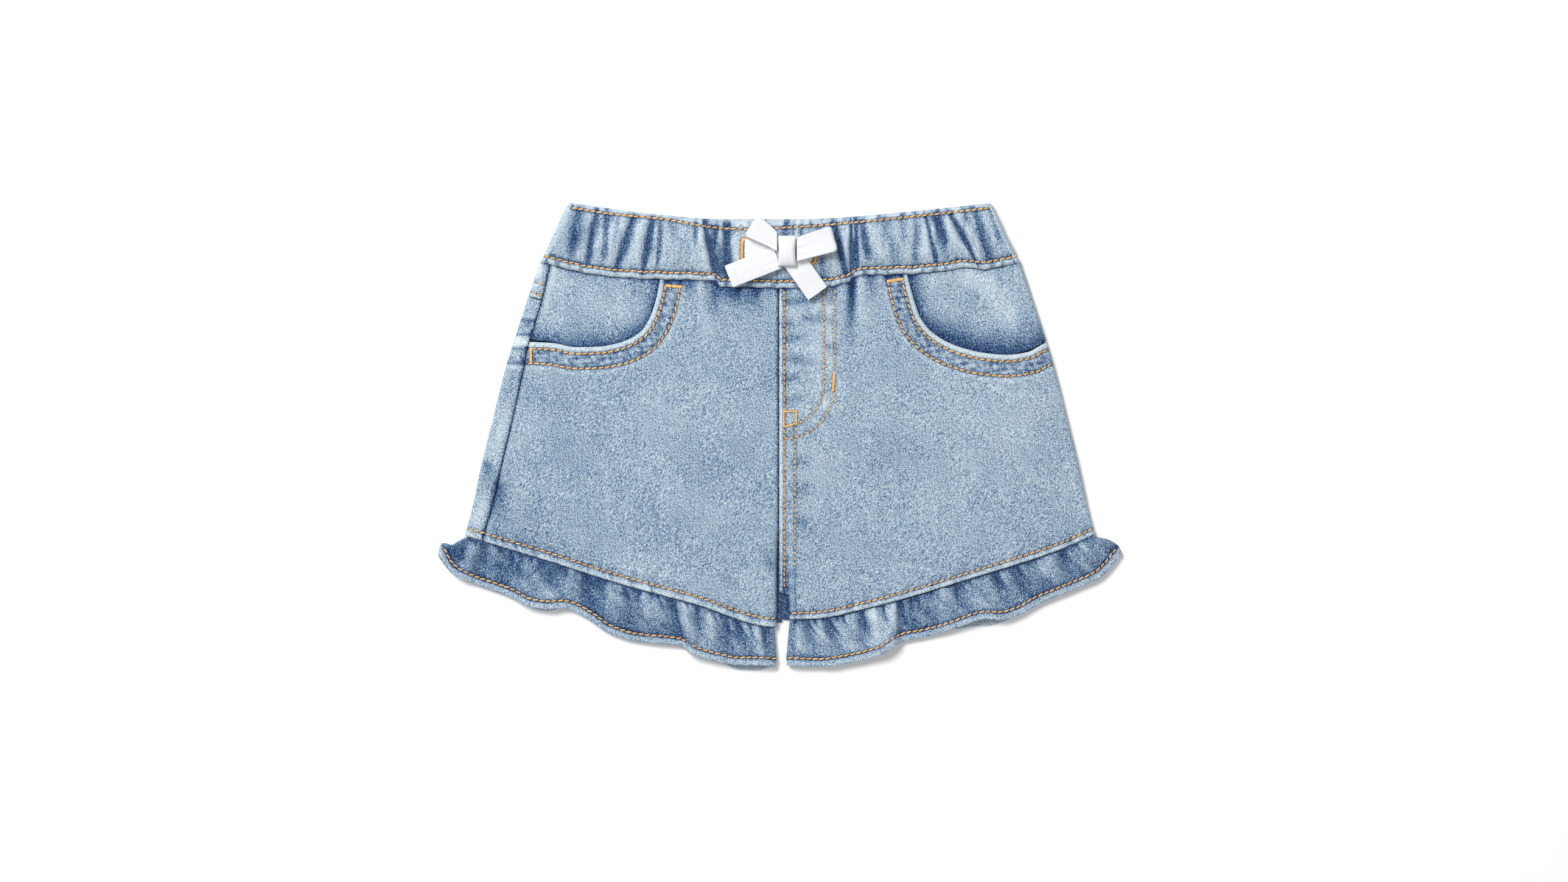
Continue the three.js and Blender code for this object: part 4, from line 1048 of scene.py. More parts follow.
def gather_field(rows, x, v):
    """Depth and painted shade of the waistband's gathers at x, a share v of the way up the band, with
    painted light on the ridges beside each, most on its lit side.
    """
    depth = np.zeros(np.broadcast(x, v).shape)
    shade = np.zeros_like(depth)
    for top, low, half, deep, dark, start, end in rows:
        span = smooth((v - start) / 0.24 + 0.5) * smooth((end - v) / 0.12 + 0.5)
        off = x - mix(low, top, v)
        half = half * (1 + 0.3 * uneven(v * 20, top, 9, int(top * 10 + 3000)))
        before, after = bell(off + 2.1 * half, half), bell(off - 2.1 * half, half)
        depth += deep * span * (bell(off, half) - 0.15 * (before + after))
        # Painted shade, steep on the side turned from the light, and painted light on the ridges beside
        dark_core = bell(off, half * np.where(off < 0, *GATHER_SIDES))
        pale = np.minimum(dark * (0.2 * before + 0.5 * after), 0.10)
        shade += span * (GATHER_SHADE * dark * dark_core - pale)
    return depth, shade


def band_front(share, v):
    """Points, and wash with painted shade and light, of the waistband's front face, at a share of the half
    width.
    """
    end = mix(BAND_LOW_END, BAND_TOP_END, v)
    x = share * (end - waist_height(v) / 2)
    y = mix(front_lip(x * BAND_LOW_END / end), waist_top(x * BAND_TOP_END / end), v)
    depth, shade = gather_field(WAIST_GATHERS, x, v)
    fine = uneven(x, y * 0.12, 4.2, 41)
    tuck = uneven(x, y * 0.3, 3.6, 45)
    puff = 0.35 * uneven(x, y * 0.1, 11, 42) * bell(v - 0.5, 0.35)
    from_top_row = waist_top(x * BAND_TOP_END / end) - y - top_stitch_drop(x)
    from_lip_row = y - front_lip(x * BAND_LOW_END / end) - LIP_STITCH_RISE
    z = waist_height(v) - depth * waist_gather(v) + puff + 0.12 * fine
    z -= 0.40 * channel(from_top_row, 0.8) + 0.40 * channel(from_lip_row, 0.8)
    z -= 0.6 * smooth((0.05 - v) / 0.05) ** 2
    z += 0.35 * bell(from_lip_row + 2.0, 1.0) + 0.10 * tuck * smooth(-from_lip_row)
    # The gathers' painted shade, most where the band lets them go deep
    wash = BAND_WASH - shade * (0.35 + 0.65 * smooth(waist_gather(v) / 0.8)) + 0.05 * fine

    # Above the upper row and below the lower one the cloth is rubbed pale, with a dark tick at each tuck
    on_edge = smooth((-0.5 - from_top_row) / 0.8) + smooth((-0.5 - from_lip_row) / 0.8)
    wash += on_edge * (0.19 - 0.34 * smooth(tuck * 2 - 0.6))
    # The rows' grooves are painted in shade
    wash -= (0.44 - 0.10 * fine) * channel(from_top_row, 0.8)
    wash -= (0.56 - 0.10 * fine) * channel(from_lip_row, 1.0)
    wash -= 0.14 * smooth(fine) * (bell(from_top_row - 2, 1.8) + bell(from_lip_row - 2, 1.8))
    wash -= 0.22 * bell(x + 1.6, 0.5) * smooth((0.3 - v) / 0.1)
    return x, y, z, np.maximum(wash, 0.1)


def make_waistband():
    lip, face, top_fold = np.linspace(0, 0.06, 5)[:-1], np.linspace(0.06, 0.95, 44), [0.965, 0.98, 0.99, 1.0]
    v = np.concatenate([lip, face, top_fold])
    share = np.linspace(-1, 1, 400)
    share_grid, v_grid = np.meshgrid(share, v)
    x, y, z, wash = band_front(share_grid, v_grid)
    z = np.where(v_grid > 0.95, z - 1.3 * smooth((v_grid - 0.95) / 0.05) ** 2, z)
    z = np.maximum(z, BAND_BACK + BAND_HOLLOW + 0.7)
    front = np.stack([x, y, z], -1)
    level = BAND_BACK + BAND_HOLLOW
    front_in = np.stack([x, y, np.full_like(x, level)], -1)
    back_share = np.linspace(1, -1, 220)
    share_grid, v_back = np.meshgrid(back_share, v)
    end = mix(BAND_LOW_END, BAND_TOP_END, v_back)
    bx = share_grid * (end - waist_height(v_back) / 2)
    by = mix(back_lip(bx * BAND_LOW_END / end), waist_top(bx * BAND_TOP_END / end), v_back)
    depth, shade = gather_field(BACK_GATHERS, bx, v_back)
    bz = depth * waist_gather(v_back) * (1 - share_grid ** 8) + 0.9 * smooth((v_back - 0.94) / 0.06) ** 2
    from_top_row = waist_top(bx) - by - BACK_TOP_ROW
    from_lip_row = by - back_lip(bx) - LIP_STITCH_RISE
    rows = channel(from_top_row, 0.9) + channel(from_lip_row, 0.9)
    bz += BACK_CHANNEL * rows
    # Painted shade in the back's gathers and in its rows' grooves
    back_wash_and_shade = BAND_WASH - 0.75 * shade * waist_gather(v_back) + 0.06 * uneven(bx, by * 0.12, 4.2, 43)
    back_wash_and_shade -= 0.3 * rows
    back_wash_and_shade += 0.14 * (smooth((-0.5 - from_top_row) / 0.8) + smooth((-0.5 - from_lip_row) / 0.8))
    back = np.stack([bx, by, np.clip(bz, 0, BAND_BACK - 0.5)], -1)
    back_in = np.stack([bx, by, np.full_like(bx, BAND_BACK)], -1)
    outer, inner, tones = [front], [front_in], [wash]
    for sign, at, first, last in ((1, 0, front[:, -1], back[:, 0]), (-1, 1, back[:, -1], front[:, 0])):
        turn = np.radians(np.linspace(90, -90, 12)[1:-1]) * (1 if at == 0 else -1)
        top_z = (first if at == 0 else last)[:, 2:3]
        low_z = (last if at == 0 else first)[:, 2:3]
        radius = (top_z - low_z) / 2
        edge_x = first[:, 0:1]
        ox = edge_x + sign * radius * np.cos(turn)
        oz = low_z + radius + radius * np.sin(turn)
        oy = np.repeat(first[:, 1:2], len(turn), 1)
        outer.append(np.stack([ox, oy, oz], -1))
        hollow = BAND_HOLLOW / 2
        ix = edge_x + sign * (hollow * np.cos(turn) - 0.4)
        iz = BAND_BACK + hollow + hollow * np.sin(turn) + 0 * ix
        inner.append(np.stack([ix, oy, iz], -1))
        tones.append(np.full(ox.shape, 0.74))
        if at == 0:
            outer.append(back)
            inner.append(back_in)
            tones.append(back_wash_and_shade)
    points, faces, wash = wall(*(np.concatenate(part, 1) for part in (outer, inner, tones)), True)
    return make_object("denim_waistband", points, faces, wash, CLOTHS["denim"], ["waistband"])


# Ruffles

def free_edge(leg):
    """The ruffle's free edge as a polyline, from the inner leg out and up to its tip."""
    first, last = RUFFLE_INNER_END[leg][1], RUFFLE_OUTER_END[leg][1]
    x = mix(first, last, smooth(np.linspace(0, 1, 120)) * 0.4 + np.linspace(0, 1, 120) * 0.6)
    return np.stack([x, ruffle_edge[leg](x)], 1)


def tip_rise(leg, x, v):
    return through(RUFFLE_TIP[leg])(v) * smooth((np.abs(x) - 149) / 8)


def ruffle_front(leg, place, v):
    """Middle of the ruffle's front layer. place counts rows of the fold table, from the inner leg out."""
    rows = np.array(RUFFLE_FOLDS[leg], float)
    index = np.arange(len(rows))
    hem_x, edge_x, near, far = (through(list(zip(index, rows[:, k])))(place) for k in range(4))
    x = mix(hem_x, edge_x, v)
    y = mix(leg_hem[leg](hem_x) - JOIN_GAP, ruffle_edge[leg](edge_x), v) + tip_rise(leg, x, v)
    from_seam = v * np.abs(leg_hem[leg](hem_x) - ruffle_edge[leg](edge_x))
    fine = uneven(hem_x, 0 * v, 5.5, 51)
    finer = uneven(hem_x, 0 * v, 2.8, 52)
    rising = smooth(v / 0.2)
    outward = smooth((v - 0.2) / 0.8)
    z = mix(mix(RUFFLE_SEAM_HEIGHT, near, rising), far, outward) - DENIM / 2
    fade = smooth(v / 0.08) * np.exp(-v / 0.28)
    wedge = np.zeros_like(x)
    pale = np.zeros_like(x)
    for at, reach, lean in RUFFLE_WEDGES[leg]:
        width = 0.3 + 0.8 * np.exp(-from_seam / reach)
        off = hem_x - at - lean * from_seam
        wedge += bell(off, width) * np.exp(-from_seam / reach)
        pale += bell(off - 2.2, 1.1) * np.exp(-from_seam / (1.5 * reach))
    z += (0.40 * fine + 0.25 * finer - 0.45 * wedge) * fade
    from_edge = distance_to(free_edge(leg), x, y)
    z += crease_field(TIP_SHADE, x, y)[0]
    z += 0.28 * smooth((RUFFLE_HEM + 0.3 - from_edge) / 0.8) - 0.35 * channel(from_edge - RUFFLE_HEM, 0.7)
    # Painted light and shade: the raised folds are paler and the low ones darker, and near the seam the
    # small gathers are paler where they rise
    tilt = mix(near, far, outward) - mix(4.2, 4.6, outward)
    patches = uneven(x + 0.8 * y, 0.6 * y, 9, 55)
    wash = RUFFLE_WASH[leg] + 0.18 * tilt * (1 - 0.45 * outward) + 0.08 * patches
    wash += 0.18 * fine * np.exp(-from_seam / 7) + 0.14 * finer * np.exp(-from_seam / 3)
    # Each wedge is painted in shade with a pale streak beside it, and the leg's hem paints a shadow along
    # the seam
    wash += 0.20 * pale - 0.62 * wedge
    wash -= 0.32 * np.exp(-from_seam / 0.9) + 0.10 * np.exp(-from_seam / 4)
    return x, y, z, ruffle_tone(leg, x, y, wash)


def ruffle_tone(leg, x, y, wash):
    """The tips have their own painted shade and light, the turned hem is rubbed pale, and the groove of its
    stitches is painted in shade.
    """
    wash = np.clip(wash + crease_field(TIP_SHADE, x, y)[1], 0.12, 0.84)
    from_edge = distance_to(free_edge(leg), x, y)
    wash = mix(wash, 0.68, 0.8 * smooth((RUFFLE_HEM - from_edge) / 0.8))
    from_row = from_edge - RUFFLE_HEM
    return wash - 0.42 * channel(from_row, 0.8) - 0.12 * bell(from_row - 1.2, 1.0)


def make_ruffle(leg):
    sign = SIGN[leg]
    v = np.linspace(0, 1, 36)
    count = len(RUFFLE_FOLDS[leg])
    place, v_grid = np.meshgrid(np.linspace(0, count - 1, 300), v)
    x, y, z, wash = ruffle_front(leg, place, v_grid)
    inner_end, outer_end = RUFFLE_INNER_END[leg], RUFFLE_OUTER_END[leg]
    back_share, v_back = np.meshgrid(np.linspace(0.95, 0.05, 170), v)
    hem_x = mix(inner_end[0], outer_end[0], back_share)
    edge_x = mix(inner_end[1], outer_end[1], back_share)
    bx = mix(hem_x, edge_x, v_back)
    edge_y = ruffle_edge[leg](edge_x) - ruffle_peep[leg](edge_x)
    by = mix(leg_hem[leg](hem_x) - JOIN_GAP, edge_y, v_back) + tip_rise(leg, bx, v_back)
    gather = 0.5 + 0.5 * uneven(hem_x, 0 * v_back, 9, 53)
    fade = smooth(v_back / 0.1) * np.exp(-v_back / 0.5) * (1 - (2 * back_share - 1) ** 8)
    bz = DENIM / 2 + 0.9 * gather * fade
    from_row = by - ruffle_edge[leg](bx) + ruffle_peep[leg](bx) - RUFFLE_HEM
    bz += BACK_CHANNEL * channel(from_row, 0.9)
    # Painted shade in the back layer's gathers near the seam and in its row's groove; its hem is paler
    back_wash_and_shade = 0.60 - 0.35 * gather * np.exp(-v_back / 0.5) + 0.14 * smooth((v_back - 0.8) / 0.04)
    back_wash_and_shade -= 0.3 * channel(from_row, 0.9)
    layers = [(x, y, z, wash)]
    for end, outward, front_column, back_column, down in (
        (outer_end, sign, -1, 0, True), (inner_end, -sign, 0, -1, False),
    ):
        turn = np.radians([70, 45, 20, 0, -20, -45, -70]) * (1 if down else -1)
        top_z, low_z = z[:, [front_column]], bz[:, [back_column]]
        radius = (top_z - low_z) / 2
        push = outward * (radius * np.cos(turn) - radius - DENIM / 2)
        column = v[:, None]
        rounding = outward * TIP_ROUNDING * smooth((column - 0.75) / 0.25) ** 2
        ex = mix(end[0], end[1], column) + push - rounding
        hem_y = leg_hem[leg](end[0] + push) - JOIN_GAP
        ey = mix(hem_y, ruffle_edge[leg](end[1] + push - rounding), column) + tip_rise(leg, ex, column)
        ez = low_z + radius + radius * np.sin(turn)
        # Painted light: each rounded end is paler at its outermost turn and darker as it turns under
        tone = ruffle_tone(leg, ex, ey, 0.40 + 0.18 * bell(turn, 0.5) + 0 * ex)
        layers.append((ex, ey, ez, tone))
        if down:
            layers.append((bx, by, bz, back_wash_and_shade))
    middle = np.concatenate([np.stack([a, b, c], -1) for a, b, c, _ in layers], 1)
    tones = np.concatenate([tone for *_, tone in layers], 1)
    along = np.roll(middle, -1, 1) - np.roll(middle, 1, 1)
    length = np.hypot(along[..., 0], along[..., 2])
    normal = np.stack([along[..., 2] / length, 0 * length, -along[..., 0] / length], -1)
    half = DENIM / 2
    outer, inner = middle - normal * half, middle + normal * half
    if outer[0, 4, 2] < inner[0, 4, 2]:
        outer, inner = inner, outer
    outer[..., 2] = np.maximum(outer[..., 2], 0)
    points, faces, wash = wall(outer, inner, tones, True)
    name, cloth = f"denim_ruffle_{leg}", CLOTHS["denim"]
    return make_object(name, points, faces, wash, cloth, [f"ruffle_{leg}"])


# Bow: one length of tape, tied. Heights and headings follow the solids.

TAPE_HALF = 5.5
TAIL_HEM = 3.4
BAR_BASE = 7.5
TAIL_BASE = BAR_BASE + TAPE + SEAM_GAP
LOOP_BASE = BAR_BASE + 2 * TAPE + 2 * SEAM_GAP
LOOP_HEIGHT = 4.2
KNOT_TOP = 15.4


def make_tape(name, node, origin, heading, path, creases=(), hem=0):
    """Tape along path rows of (out, z, half width, skew), out from origin along heading."""
    rows = np.array(path, float)
    fine = np.linspace(0, len(rows) - 1, 20 * len(rows))
    out, z, half, skew = (through(list(zip(range(len(rows)), rows[:, k])))(fine) for k in range(4))
    share = np.linspace(-1, 1, 21)
    angle = math.radians(heading)
    step_out, step_z = np.gradient(out), np.gradient(z)
    length = np.hypot(step_out, step_z)
    normal_out, normal_z = (-step_z / length)[:, None], (step_out / length)[:, None]
    side = share * half[:, None]
    lift = 0.35 * (1 - share ** 2) - 0.05 * bell(np.abs(share) - 0.84, 0.06)
    for at, deep, wide in creases:
        lift = lift - deep * bell(share - at, wide) * np.exp(-np.abs(out)[:, None] / 4)
    reach = out.max()
    if hem:
        from_hem = out[:, None] - (reach - hem)
        lift = lift + 0.25 * smooth(from_hem / 0.3) - 0.12 * bell(from_hem - 0.9, 0.25)
    rounding = 1.3 * np.abs(share) ** 7 * smooth((out[:, None] / reach - 0.8) / 0.2) * (not hem)
    layers = []
    for offset in (TAPE / 2, -TAPE / 2):
        along = out[:, None] + skew[:, None] * side + normal_out * (offset + lift) - rounding
        x = origin[0] + math.cos(angle) * along - math.sin(angle) * side
        y = origin[1] + math.sin(angle) * along + math.cos(angle) * side
        layers.append(np.stack([x, y, z[:, None] + normal_z * (offset + lift)], -1))
    points, faces, wash = wall(*layers, np.ones(layers[0].shape[:2]))
    return make_object(name, points, faces, wash, CLOTHS["tape"], [node])


def straight(reach, near, far):
    return [(reach * t, mix(near, far, t * t), TAPE_HALF, 0) for t in (0, 0.3, 0.6, 1)]


def loop(reach, near_half, far_half, heading):
    low = LOOP_BASE + TAPE / 2
    radius = (LOOP_HEIGHT - TAPE) / 2
    skew = math.tan(math.radians(heading))
    run = reach - radius
    out_leg = [(t * run, low, mix(near_half, far_half, t), skew * (t == 0)) for t in (0, 0.35, 0.7, 1)]
    turn = []
    for degrees in (-45, 0, 45):
        angle = math.radians(degrees)
        height = low + radius + radius * math.sin(angle)
        turn.append((run + radius * math.cos(angle), height, far_half, 0))
    back_leg = [(o, low + 2 * radius - 0.5 * (1 - o / run), h, k) for o, _, h, k in out_leg[::-1]]
    return out_leg + turn + back_leg


def make_bow():
    low = TAIL_BASE + TAPE / 2
    bar = BAR_BASE + TAPE / 2
    gather = [(-0.35, 0.35, 0.16), (0.3, 0.45, 0.14)]
    pieces = [
        make_tape("tape_between_holes", "tape_bar", (-16.7, 88), 0, straight(32, bar, bar)),
        make_tape("tape_loop_right", "bow_loop_right", (-1.4, 91.9), 147, loop(14.6, 3.6, 5.7, 147), gather),
        make_tape("tape_loop_left", "bow_loop_left", (8.0, 88.4), 16.5, loop(18.4, 5.4, 6.1, 16.5), gather),
    ]
    for side, origin, heading, reach, fall in (
        ("right", (-1.2, 84.7), 201.3, 24.8, 0.3), ("left", (6.6, 83.6), -54.5, 19.4, 1.2),
    ):
        path = straight(reach, low, low - fall)
        pieces.append(
            make_tape(f"tape_tail_{side}", f"bow_tail_{side}", origin, heading, path, gather, TAIL_HEM)
        )
    return pieces + [make_knot()]


def make_knot():
    """A short wrap of tape, pulled in by its neighbours, with soft creases down it."""
    left, right, bottom, top = -1.0, 7.6, 80.4, 95.0
    u, v = np.meshgrid(np.linspace(0, 1, 26), np.linspace(0, 1, 40))
    roll = np.sqrt(1 - (2 * v - 1) ** 2)
    side = np.sqrt(1 - (2 * u - 1) ** 4)
    pinch = 0.35 * bell(v - 0.5, 0.3) * (1 - 2 * u)
    x = mix(left, right, u) + pinch
    y = mix(bottom, top, v)
    base = LOOP_BASE
    crease = 0.14 * bell(u - 0.28 - 0.1 * v, 0.09) + 0.10 * bell(u - 0.7 + 0.12 * v, 0.09)
    z = mix(base + 1.6, KNOT_TOP, roll * (0.3 + 0.7 * side)) - crease * roll
    upper = np.stack([x, y, z], -1)
    lower = np.stack([x, y, np.full_like(x, base)], -1)
    points, faces, wash = wall(upper, lower, np.ones(u.shape))
    return make_object("tape_knot", points, faces, wash, CLOTHS["tape"], ["bow_knot"])


# Topstitching

STITCH_PITCH = 3.0
THREAD_WIDTH = 0.82
THREAD_HEIGHT = 0.6
FLY_THREAD = {"pitch": 2.5, "fill": 0.86, "lean": 0.12, "width": 0.68}
BARTACK_PITCH = 0.5
BUTTONHOLE_PITCH = 0.42

# Places along a stitch, how thick it is there, and how much light it has there
THREAD_SIDES = 6
STITCH_RINGS = np.array([0, 0.09, 0.22, 0.78, 0.91, 1])
STITCH_THICKNESS = np.array([0.5, 0.85, 1, 1, 0.85, 0.5])
STITCH_LIGHT = np.array([0, 0.35, 1, 1, 0.35, 0])


def threads(starts, ends, normals, width=THREAD_WIDTH, height=THREAD_HEIGHT, sink=0.14, shade=0.75):
    """Stitches as short tubes that dive into the cloth at both ends."""
    starts, ends, normals = (np.asarray(a, float).reshape(-1, 3) for a in (starts, ends, normals))
    count = len(starts)
    normals = normals / np.linalg.norm(normals, axis=1, keepdims=True)
    along = ends - starts
    along /= np.linalg.norm(along, axis=1, keepdims=True)
    across = np.cross(normals, along)
    rise = height * 0.62 * np.sqrt(np.clip(1 - (2 * STITCH_RINGS - 1) ** 6, 0, 1)) - sink
    angle = np.arange(THREAD_SIDES) * 2 * math.pi / THREAD_SIDES
    centre = starts[:, None] + (ends - starts)[:, None] * STITCH_RINGS[None, :, None]
    centre = centre + normals[:, None] * rise[None, :, None]
    wide = (np.cos(angle) * width / 2)[None, None, :, None]
    high = (np.sin(angle) * height / 2)[None, None, :, None]
    thick = STITCH_THICKNESS[None, :, None, None]
    ring = centre[:, :, None] + across[:, None, None] * wide * thick + normals[:, None, None] * high * thick
    tone = shade + RANDOM.uniform(-0.12, 0.12, count)
    # Painted shade: each stitch is darker towards its ends, where it dives into the cloth
    wash = tone[:, None, None] - 0.75 * (1 - STITCH_LIGHT)[None, :, None] + 0 * ring[..., 0]
    one = grid_quads(len(STITCH_RINGS), THREAD_SIDES, 0, True)
    per = len(STITCH_RINGS) * THREAD_SIDES
    faces = (one[None] + (np.arange(count) * per)[:, None, None]).reshape(-1, 4)
    return ring.reshape(-1, 3), faces, wash.ravel()


def sew(path, normals, pitch=STITCH_PITCH, lean=0.28, fill=1.0, **looks):
    """A row of lockstitch along a path over the cloth. Each stitch leans a little across the row."""
    path, normals = np.asarray(path, float), np.asarray(normals, float)
    run = np.concatenate([[0], np.cumsum(np.linalg.norm(np.diff(path, axis=0), axis=1))])
    count = max(1, int(run[-1] / pitch))
    first = (np.arange(count) + 0.08 + RANDOM.uniform(-0.03, 0.03, count)) * run[-1] / count
    last = first + run[-1] / count * fill * RANDOM.uniform(0.98, 1.05, count)

    def at(distance, rows):
        return np.stack([np.interp(distance, run, rows[:, k]) for k in range(3)], 1)

    starts, ends, up = at(first, path), at(last, path), at((first + last) / 2, normals)
    across = np.cross(up, ends - starts)
    across /= np.linalg.norm(across, axis=1, keepdims=True)
    return threads(starts - across * lean, ends + across * lean, up, **looks)


def bar_of_thread(start, end, width, height_at, pitch=BARTACK_PITCH):
    """A bartack: close strands across a short bar."""
    start, end = np.array(start, float), np.array(end, float)
    along = (end - start) / np.linalg.norm(end - start)
    across = np.array([-along[1], along[0]])
    count = int(np.linalg.norm(end - start) / pitch) + 1
    middles = start + np.linspace(0, 1, count)[:, None] * (end - start)
    jitter = RANDOM.uniform(0.42, 0.56, (count, 2)) * width
    a = middles - across * jitter[:, :1] - along * 0.12
    b = middles + across * jitter[:, 1:] + along * 0.12
    up = np.tile([0.0, 0.0, 1.0], (count, 1))
    z = height_at(middles[:, 0], middles[:, 1])[:, None] + 0.12
    starts, ends = np.hstack([a, z]), np.hstack([b, z])
    return threads(starts, ends, up, width=pitch * 1.25, height=0.5, sink=0.1, shade=0.8)


def over(height_at, xy):
    """A line of (x, y) points laid on a height field, with its normals."""
    x, y = np.array(xy, float).T
    step = 0.4
    z = height_at(x, y)
    slope_x = (height_at(x + step, y) - height_at(x - step, y)) / (2 * step)
    slope_y = (height_at(x, y + step) - height_at(x, y - step)) / (2 * step)
    return np.stack([x, y, z], 1), np.stack([-slope_x, -slope_y, np.ones_like(x)], 1)


def body_top(x, y):
    """Height of the top of the body's cloth."""
    shape = np.broadcast(x, y).shape
    x, y = np.broadcast_to(x, shape).astype(float), np.broadcast_to(y, shape).astype(float)
    centre = half_width(y) - FOLD_RADIUS
    off = np.clip((np.abs(x) - centre) / FOLD_RADIUS, -1, 1)
    on_fold = np.abs(x) > centre
    s = np.where(on_fold, FOLD_RADIUS * np.arccos(np.clip(off, 0, 1)), centre - np.abs(x) + QUARTER_TURN)
    side = np.sign(x)
    relief = np.zeros(shape)
    for leg, sign in SIGN.items():
        here = side == sign
        field, _ = front_relief(leg, sign * (side_length(y) - s), y)
        relief = np.where(here, field, relief)
    relief = relief * smooth(s / QUARTER_TURN)
    return body_point(side, s, y, 0, relief)[..., 2]


def band_top(x, y):
    """Height of the waistband's front face."""
    v = np.full_like(x, 0.5)
    for _ in range(4):
        end = mix(BAND_LOW_END, BAND_TOP_END, v)
        low, high = front_lip(x * BAND_LOW_END / end), waist_top(x * BAND_TOP_END / end)
        v = np.clip((y - low) / (high - low), 0, 1)
    end = mix(BAND_LOW_END, BAND_TOP_END, v)
    return band_front(x / (end - waist_height(v) / 2), v)[2]


def offset_line(line, distance):
    """A polyline moved sideways, to the left of its own direction."""
    line = np.array(line, float)
    step = np.gradient(line, axis=0)
    step /= np.linalg.norm(step, axis=1, keepdims=True)
    return line + distance * np.stack([-step[:, 1], step[:, 0]], 1)


def spread(x1, x2, count=160):
    return np.linspace(x1, x2, count)


def front_sewing():
    rows = []
    for leg, sign in SIGN.items():
        line = np.array(mouth_line(leg))
        for distance in POCKET_ROWS:
            moved = offset_line(line, -sign * distance)
            x, y = moved.T
            outermost = seam_along(y) - 0.8 if leg == "right" else half_width(y) - 0.5
            keep = (sign * x < outermost) & (y < front_lip(x) - 1.5)
            rows.append(sew(*over(body_top, moved[keep])))
        x = spread(-148.6, CENTRE_FRONT - 1.5) if leg == "right" else spread(CROTCH_LEFT_EDGE + 0.6, 148.6)
        rows.append(sew(*over(body_top, np.stack([x, leg_hem[leg](x) + HEM_BAND[leg]], 1))))
        rows += [bar_of_thread(a, b, BARTACK_WIDTH, body_top) for a, b in POCKET_TACKS[leg]]
    for x, (top, bottom) in zip(CENTRE_ROWS, CENTRE_ROW_ENDS):
        y = spread(top, bottom)
        rows.append(sew(*over(body_top, np.stack([x + 0 * y, y], 1)), **FLY_THREAD))
    for reach, drop in FLY_ROWS:
        rows.append(sew(*over(body_top, fly_line(reach, drop)), **FLY_THREAD))
    for a, b in zip(FLY_BOX, FLY_BOX[1:] + FLY_BOX[:1]):
        rows.append(bar_of_thread(a, b, 1.1, body_top))
    rows.append(bar_of_thread(*FLY_TACK, 1.5, body_top))
    # The yoke's two rows on the strip that turns on to the front
    for row in YOKE_ROWS:
        x = spread(-half_width(YOKE_SIDE + row) + 0.5, -seam_along(YOKE_SIDE + row) - 0.7, 20)
        rows.append(sew(*over(body_top, np.stack([x, yoke_strip_y(x) + row], 1))))
    return rows


def band_sewing():
    rows = []
    x = spread(1.6 - BAND_TOP_END, BAND_TOP_END - 1.6, 700)
    rows.append(sew(*over(band_top, np.stack([x, waist_top(x) - top_stitch_drop(x)], 1))))
    x = spread(-112.5, 112.5, 700)
    rows.append(sew(*over(band_top, np.stack([x, front_lip(x) + LIP_STITCH_RISE], 1))))
    return rows


def back_sewing():
    """Rows on the underside, pressed flat into the cloth that they hold."""
    rows = []

    def flat(x, y):
        points = np.stack([x, y, np.full_like(x, BACK_CHANNEL - 0.05)], 1)
        return sew(points, np.tile([0.0, 0.0, -1.0], (len(x), 1)), sink=0.2)

    x = spread(-108, 108)
    rows.append(flat(x, back_lip(x) + LIP_STITCH_RISE))
    x = spread(-96, 96)
    rows.append(flat(x, waist_top(x) - BACK_TOP_ROW))
    for rise in BACK_YOKE_ROWS:
        for first, last in ((-113, CENTRE_BACK - 0.6), (CENTRE_BACK + 0.6, 107)):
            x = spread(first, last)
            rows.append(flat(x, yoke_y(x) + rise))
    for beside in SEAT_ROWS:
        y = spread(70, -84)
        rows.append(flat(CENTRE_BACK + beside + 0 * y, y))
    for leg, sign in SIGN.items():
        x = spread(sign * 5, sign * (147 if leg == "right" else 138))
        rows.append(flat(x, leg_hem[leg](x) + HEM_BAND[leg]))
        x = spread(sign * 6, sign * 156)
        rows.append(flat(x, ruffle_edge[leg](x) - ruffle_peep[leg](x) + RUFFLE_HEM))
    return rows


def ruffle_sewing(leg):
    """One row that keeps its distance from the free edge, laid on the nearest points of the ruffle."""
    count = len(RUFFLE_FOLDS[leg])
    place, v = np.meshgrid(np.linspace(0, count - 1, 500), np.linspace(0.3, 1, 50))
    surface = np.stack(ruffle_front(leg, place, v)[:3], -1)
    normal = np.cross(np.gradient(surface, axis=1), np.gradient(surface, axis=0))
    normal /= np.linalg.norm(normal, axis=-1, keepdims=True)
    normal *= np.sign(normal[..., 2:])
    surface, normal = surface.reshape(-1, 3), normal.reshape(-1, 3)
    line = offset_line(free_edge(leg), SIGN[leg] * RUFFLE_HEM)
    run = np.concatenate([[0], np.cumsum(np.linalg.norm(np.diff(line, axis=0), axis=1))])
    steps = np.linspace(0.3, run[-1] - 1.4, 420)
    line = np.stack([np.interp(steps, run, line[:, k]) for k in range(2)], 1)
    nearest = np.array([np.argmin(((surface[:, :2] - point) ** 2).sum(1)) for point in line])
    z, up = surface[nearest, 2], normal[nearest]
    soften = np.ones(9) / 9
    z = np.convolve(np.pad(z, 4, mode="edge"), soften, "valid")
    up = np.stack([np.convolve(np.pad(up[:, k], 4, mode="edge"), soften, "valid") for k in range(3)], 1)
    return [sew(np.column_stack([line, z]) + up * DENIM / 2, up)]


BUTTONHOLES = {"right": (-16.4, 87.85), "left": (15.2, 87.85)}
BUTTONHOLE_HALF = (2.6, 6.6)


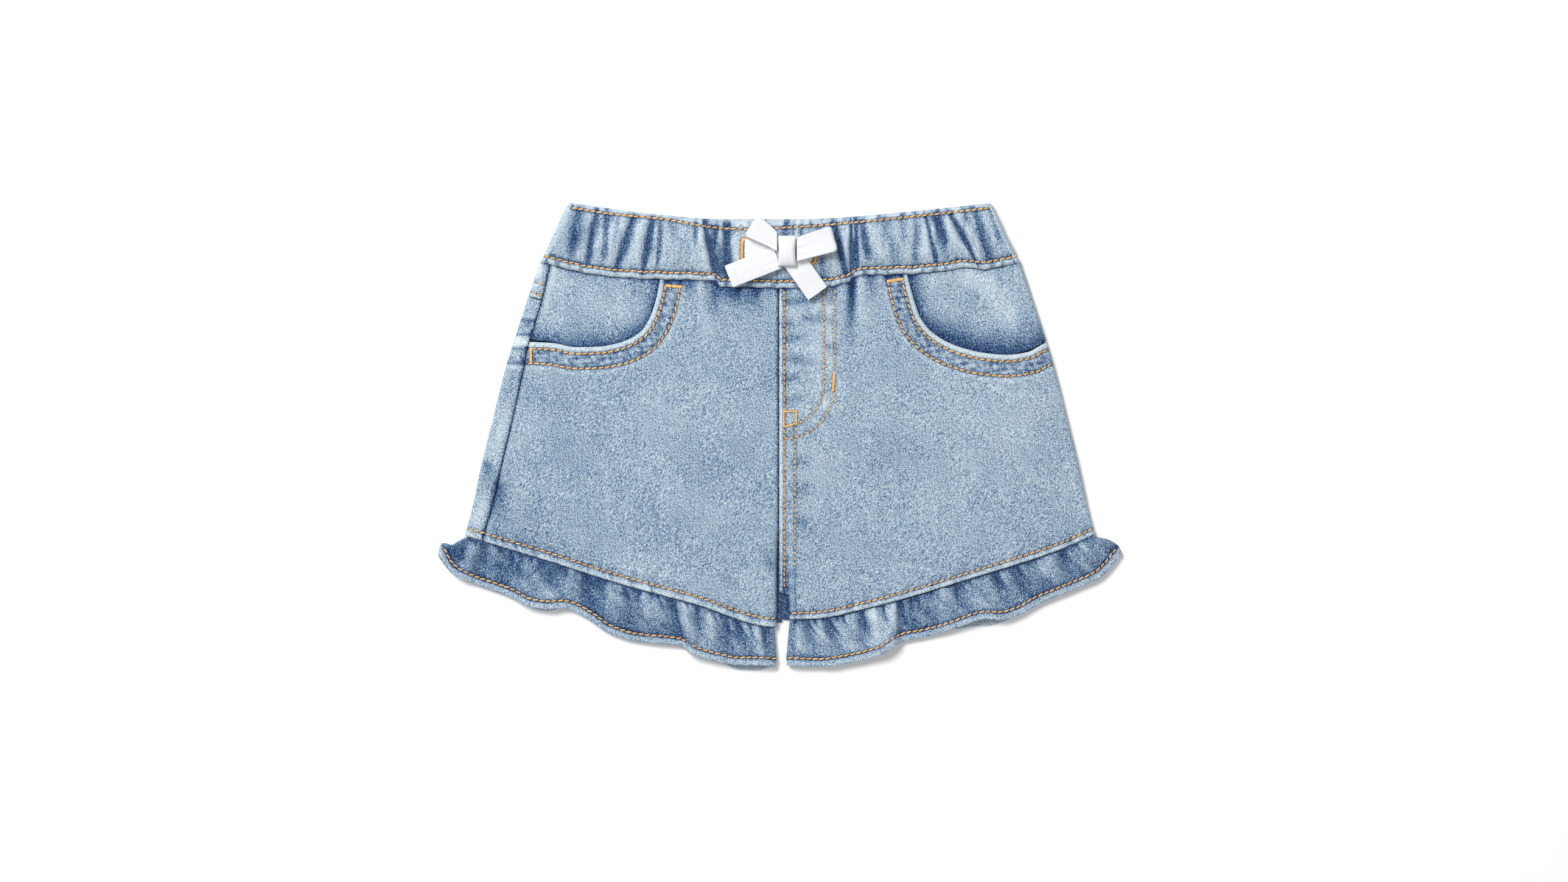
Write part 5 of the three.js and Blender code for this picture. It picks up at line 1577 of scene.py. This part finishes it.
def buttonhole(middle):
    """A worked buttonhole: strands laid side by side round a long slot with rounded corners."""
    turn = np.linspace(0, 2 * math.pi, 2000)
    shape = np.stack([
        np.sign(np.cos(turn)) * np.abs(np.cos(turn)) ** 0.35 * BUTTONHOLE_HALF[0],
        np.sign(np.sin(turn)) * np.abs(np.sin(turn)) ** 0.55 * BUTTONHOLE_HALF[1],
    ], 1)
    run = np.concatenate([[0], np.cumsum(np.linalg.norm(np.diff(shape, axis=0), axis=1))])
    steps = np.arange(0, run[-1], BUTTONHOLE_PITCH)
    shape = np.stack([np.interp(steps, run, shape[:, k]) for k in range(2)], 1)
    outer = np.array(middle) + shape * RANDOM.uniform(0.94, 1.06, (len(shape), 1))
    inner = np.array(middle) + shape * [0.28, 0.74]
    z_out = band_top(outer[:, 0], outer[:, 1])[:, None] + 0.1
    z_in = band_top(inner[:, 0], inner[:, 1])[:, None] + 0.1
    up = np.tile([0.0, 0.0, 1.0], (len(shape), 1))
    starts, ends = np.hstack([outer, z_out]), np.hstack([inner, z_in])
    return threads(starts, ends, up, width=0.55, height=0.5, sink=0.1, shade=0.72)


def stitched(name, rows):
    points, faces, tones, count = [], [], [], 0
    for row_points, row_faces, row_tones in rows:
        points.append(row_points)
        faces.append(row_faces + count)
        tones.append(row_tones)
        count += len(row_points)
    points = np.concatenate(points)
    points[:, 2] = np.maximum(points[:, 2], 0)
    faces, tones = np.concatenate(faces), np.concatenate(tones)
    return make_object(name, points, faces, tones, CLOTHS["thread"])


# Building the shorts

make_camera()
make_studio()
CLOTHS = make_materials()

band = make_waistband()
sewn_band = stitched("stitching_waistband", band_sewing() + [buttonhole(m) for m in BUTTONHOLES.values()])

# Each leg's front, pocket facing, yoke, back and ruffle, and the ruffle's stitching
for leg in SIGN:
    front = make_front(leg)
    facing = make_facing(leg)
    yoke = make_yoke(leg)
    back = make_back(leg)
    ruffle = make_ruffle(leg)
    sewn_ruffle = stitched(f"stitching_ruffle_{leg}", ruffle_sewing(leg))
stitched("stitching_front", front_sewing())
stitched("stitching_underside", back_sewing())

tape_lengths = (0.034, 0.030, 0.037, 0.025, 0.020, 0.016)
for piece, length in zip(make_bow(), tape_lengths):
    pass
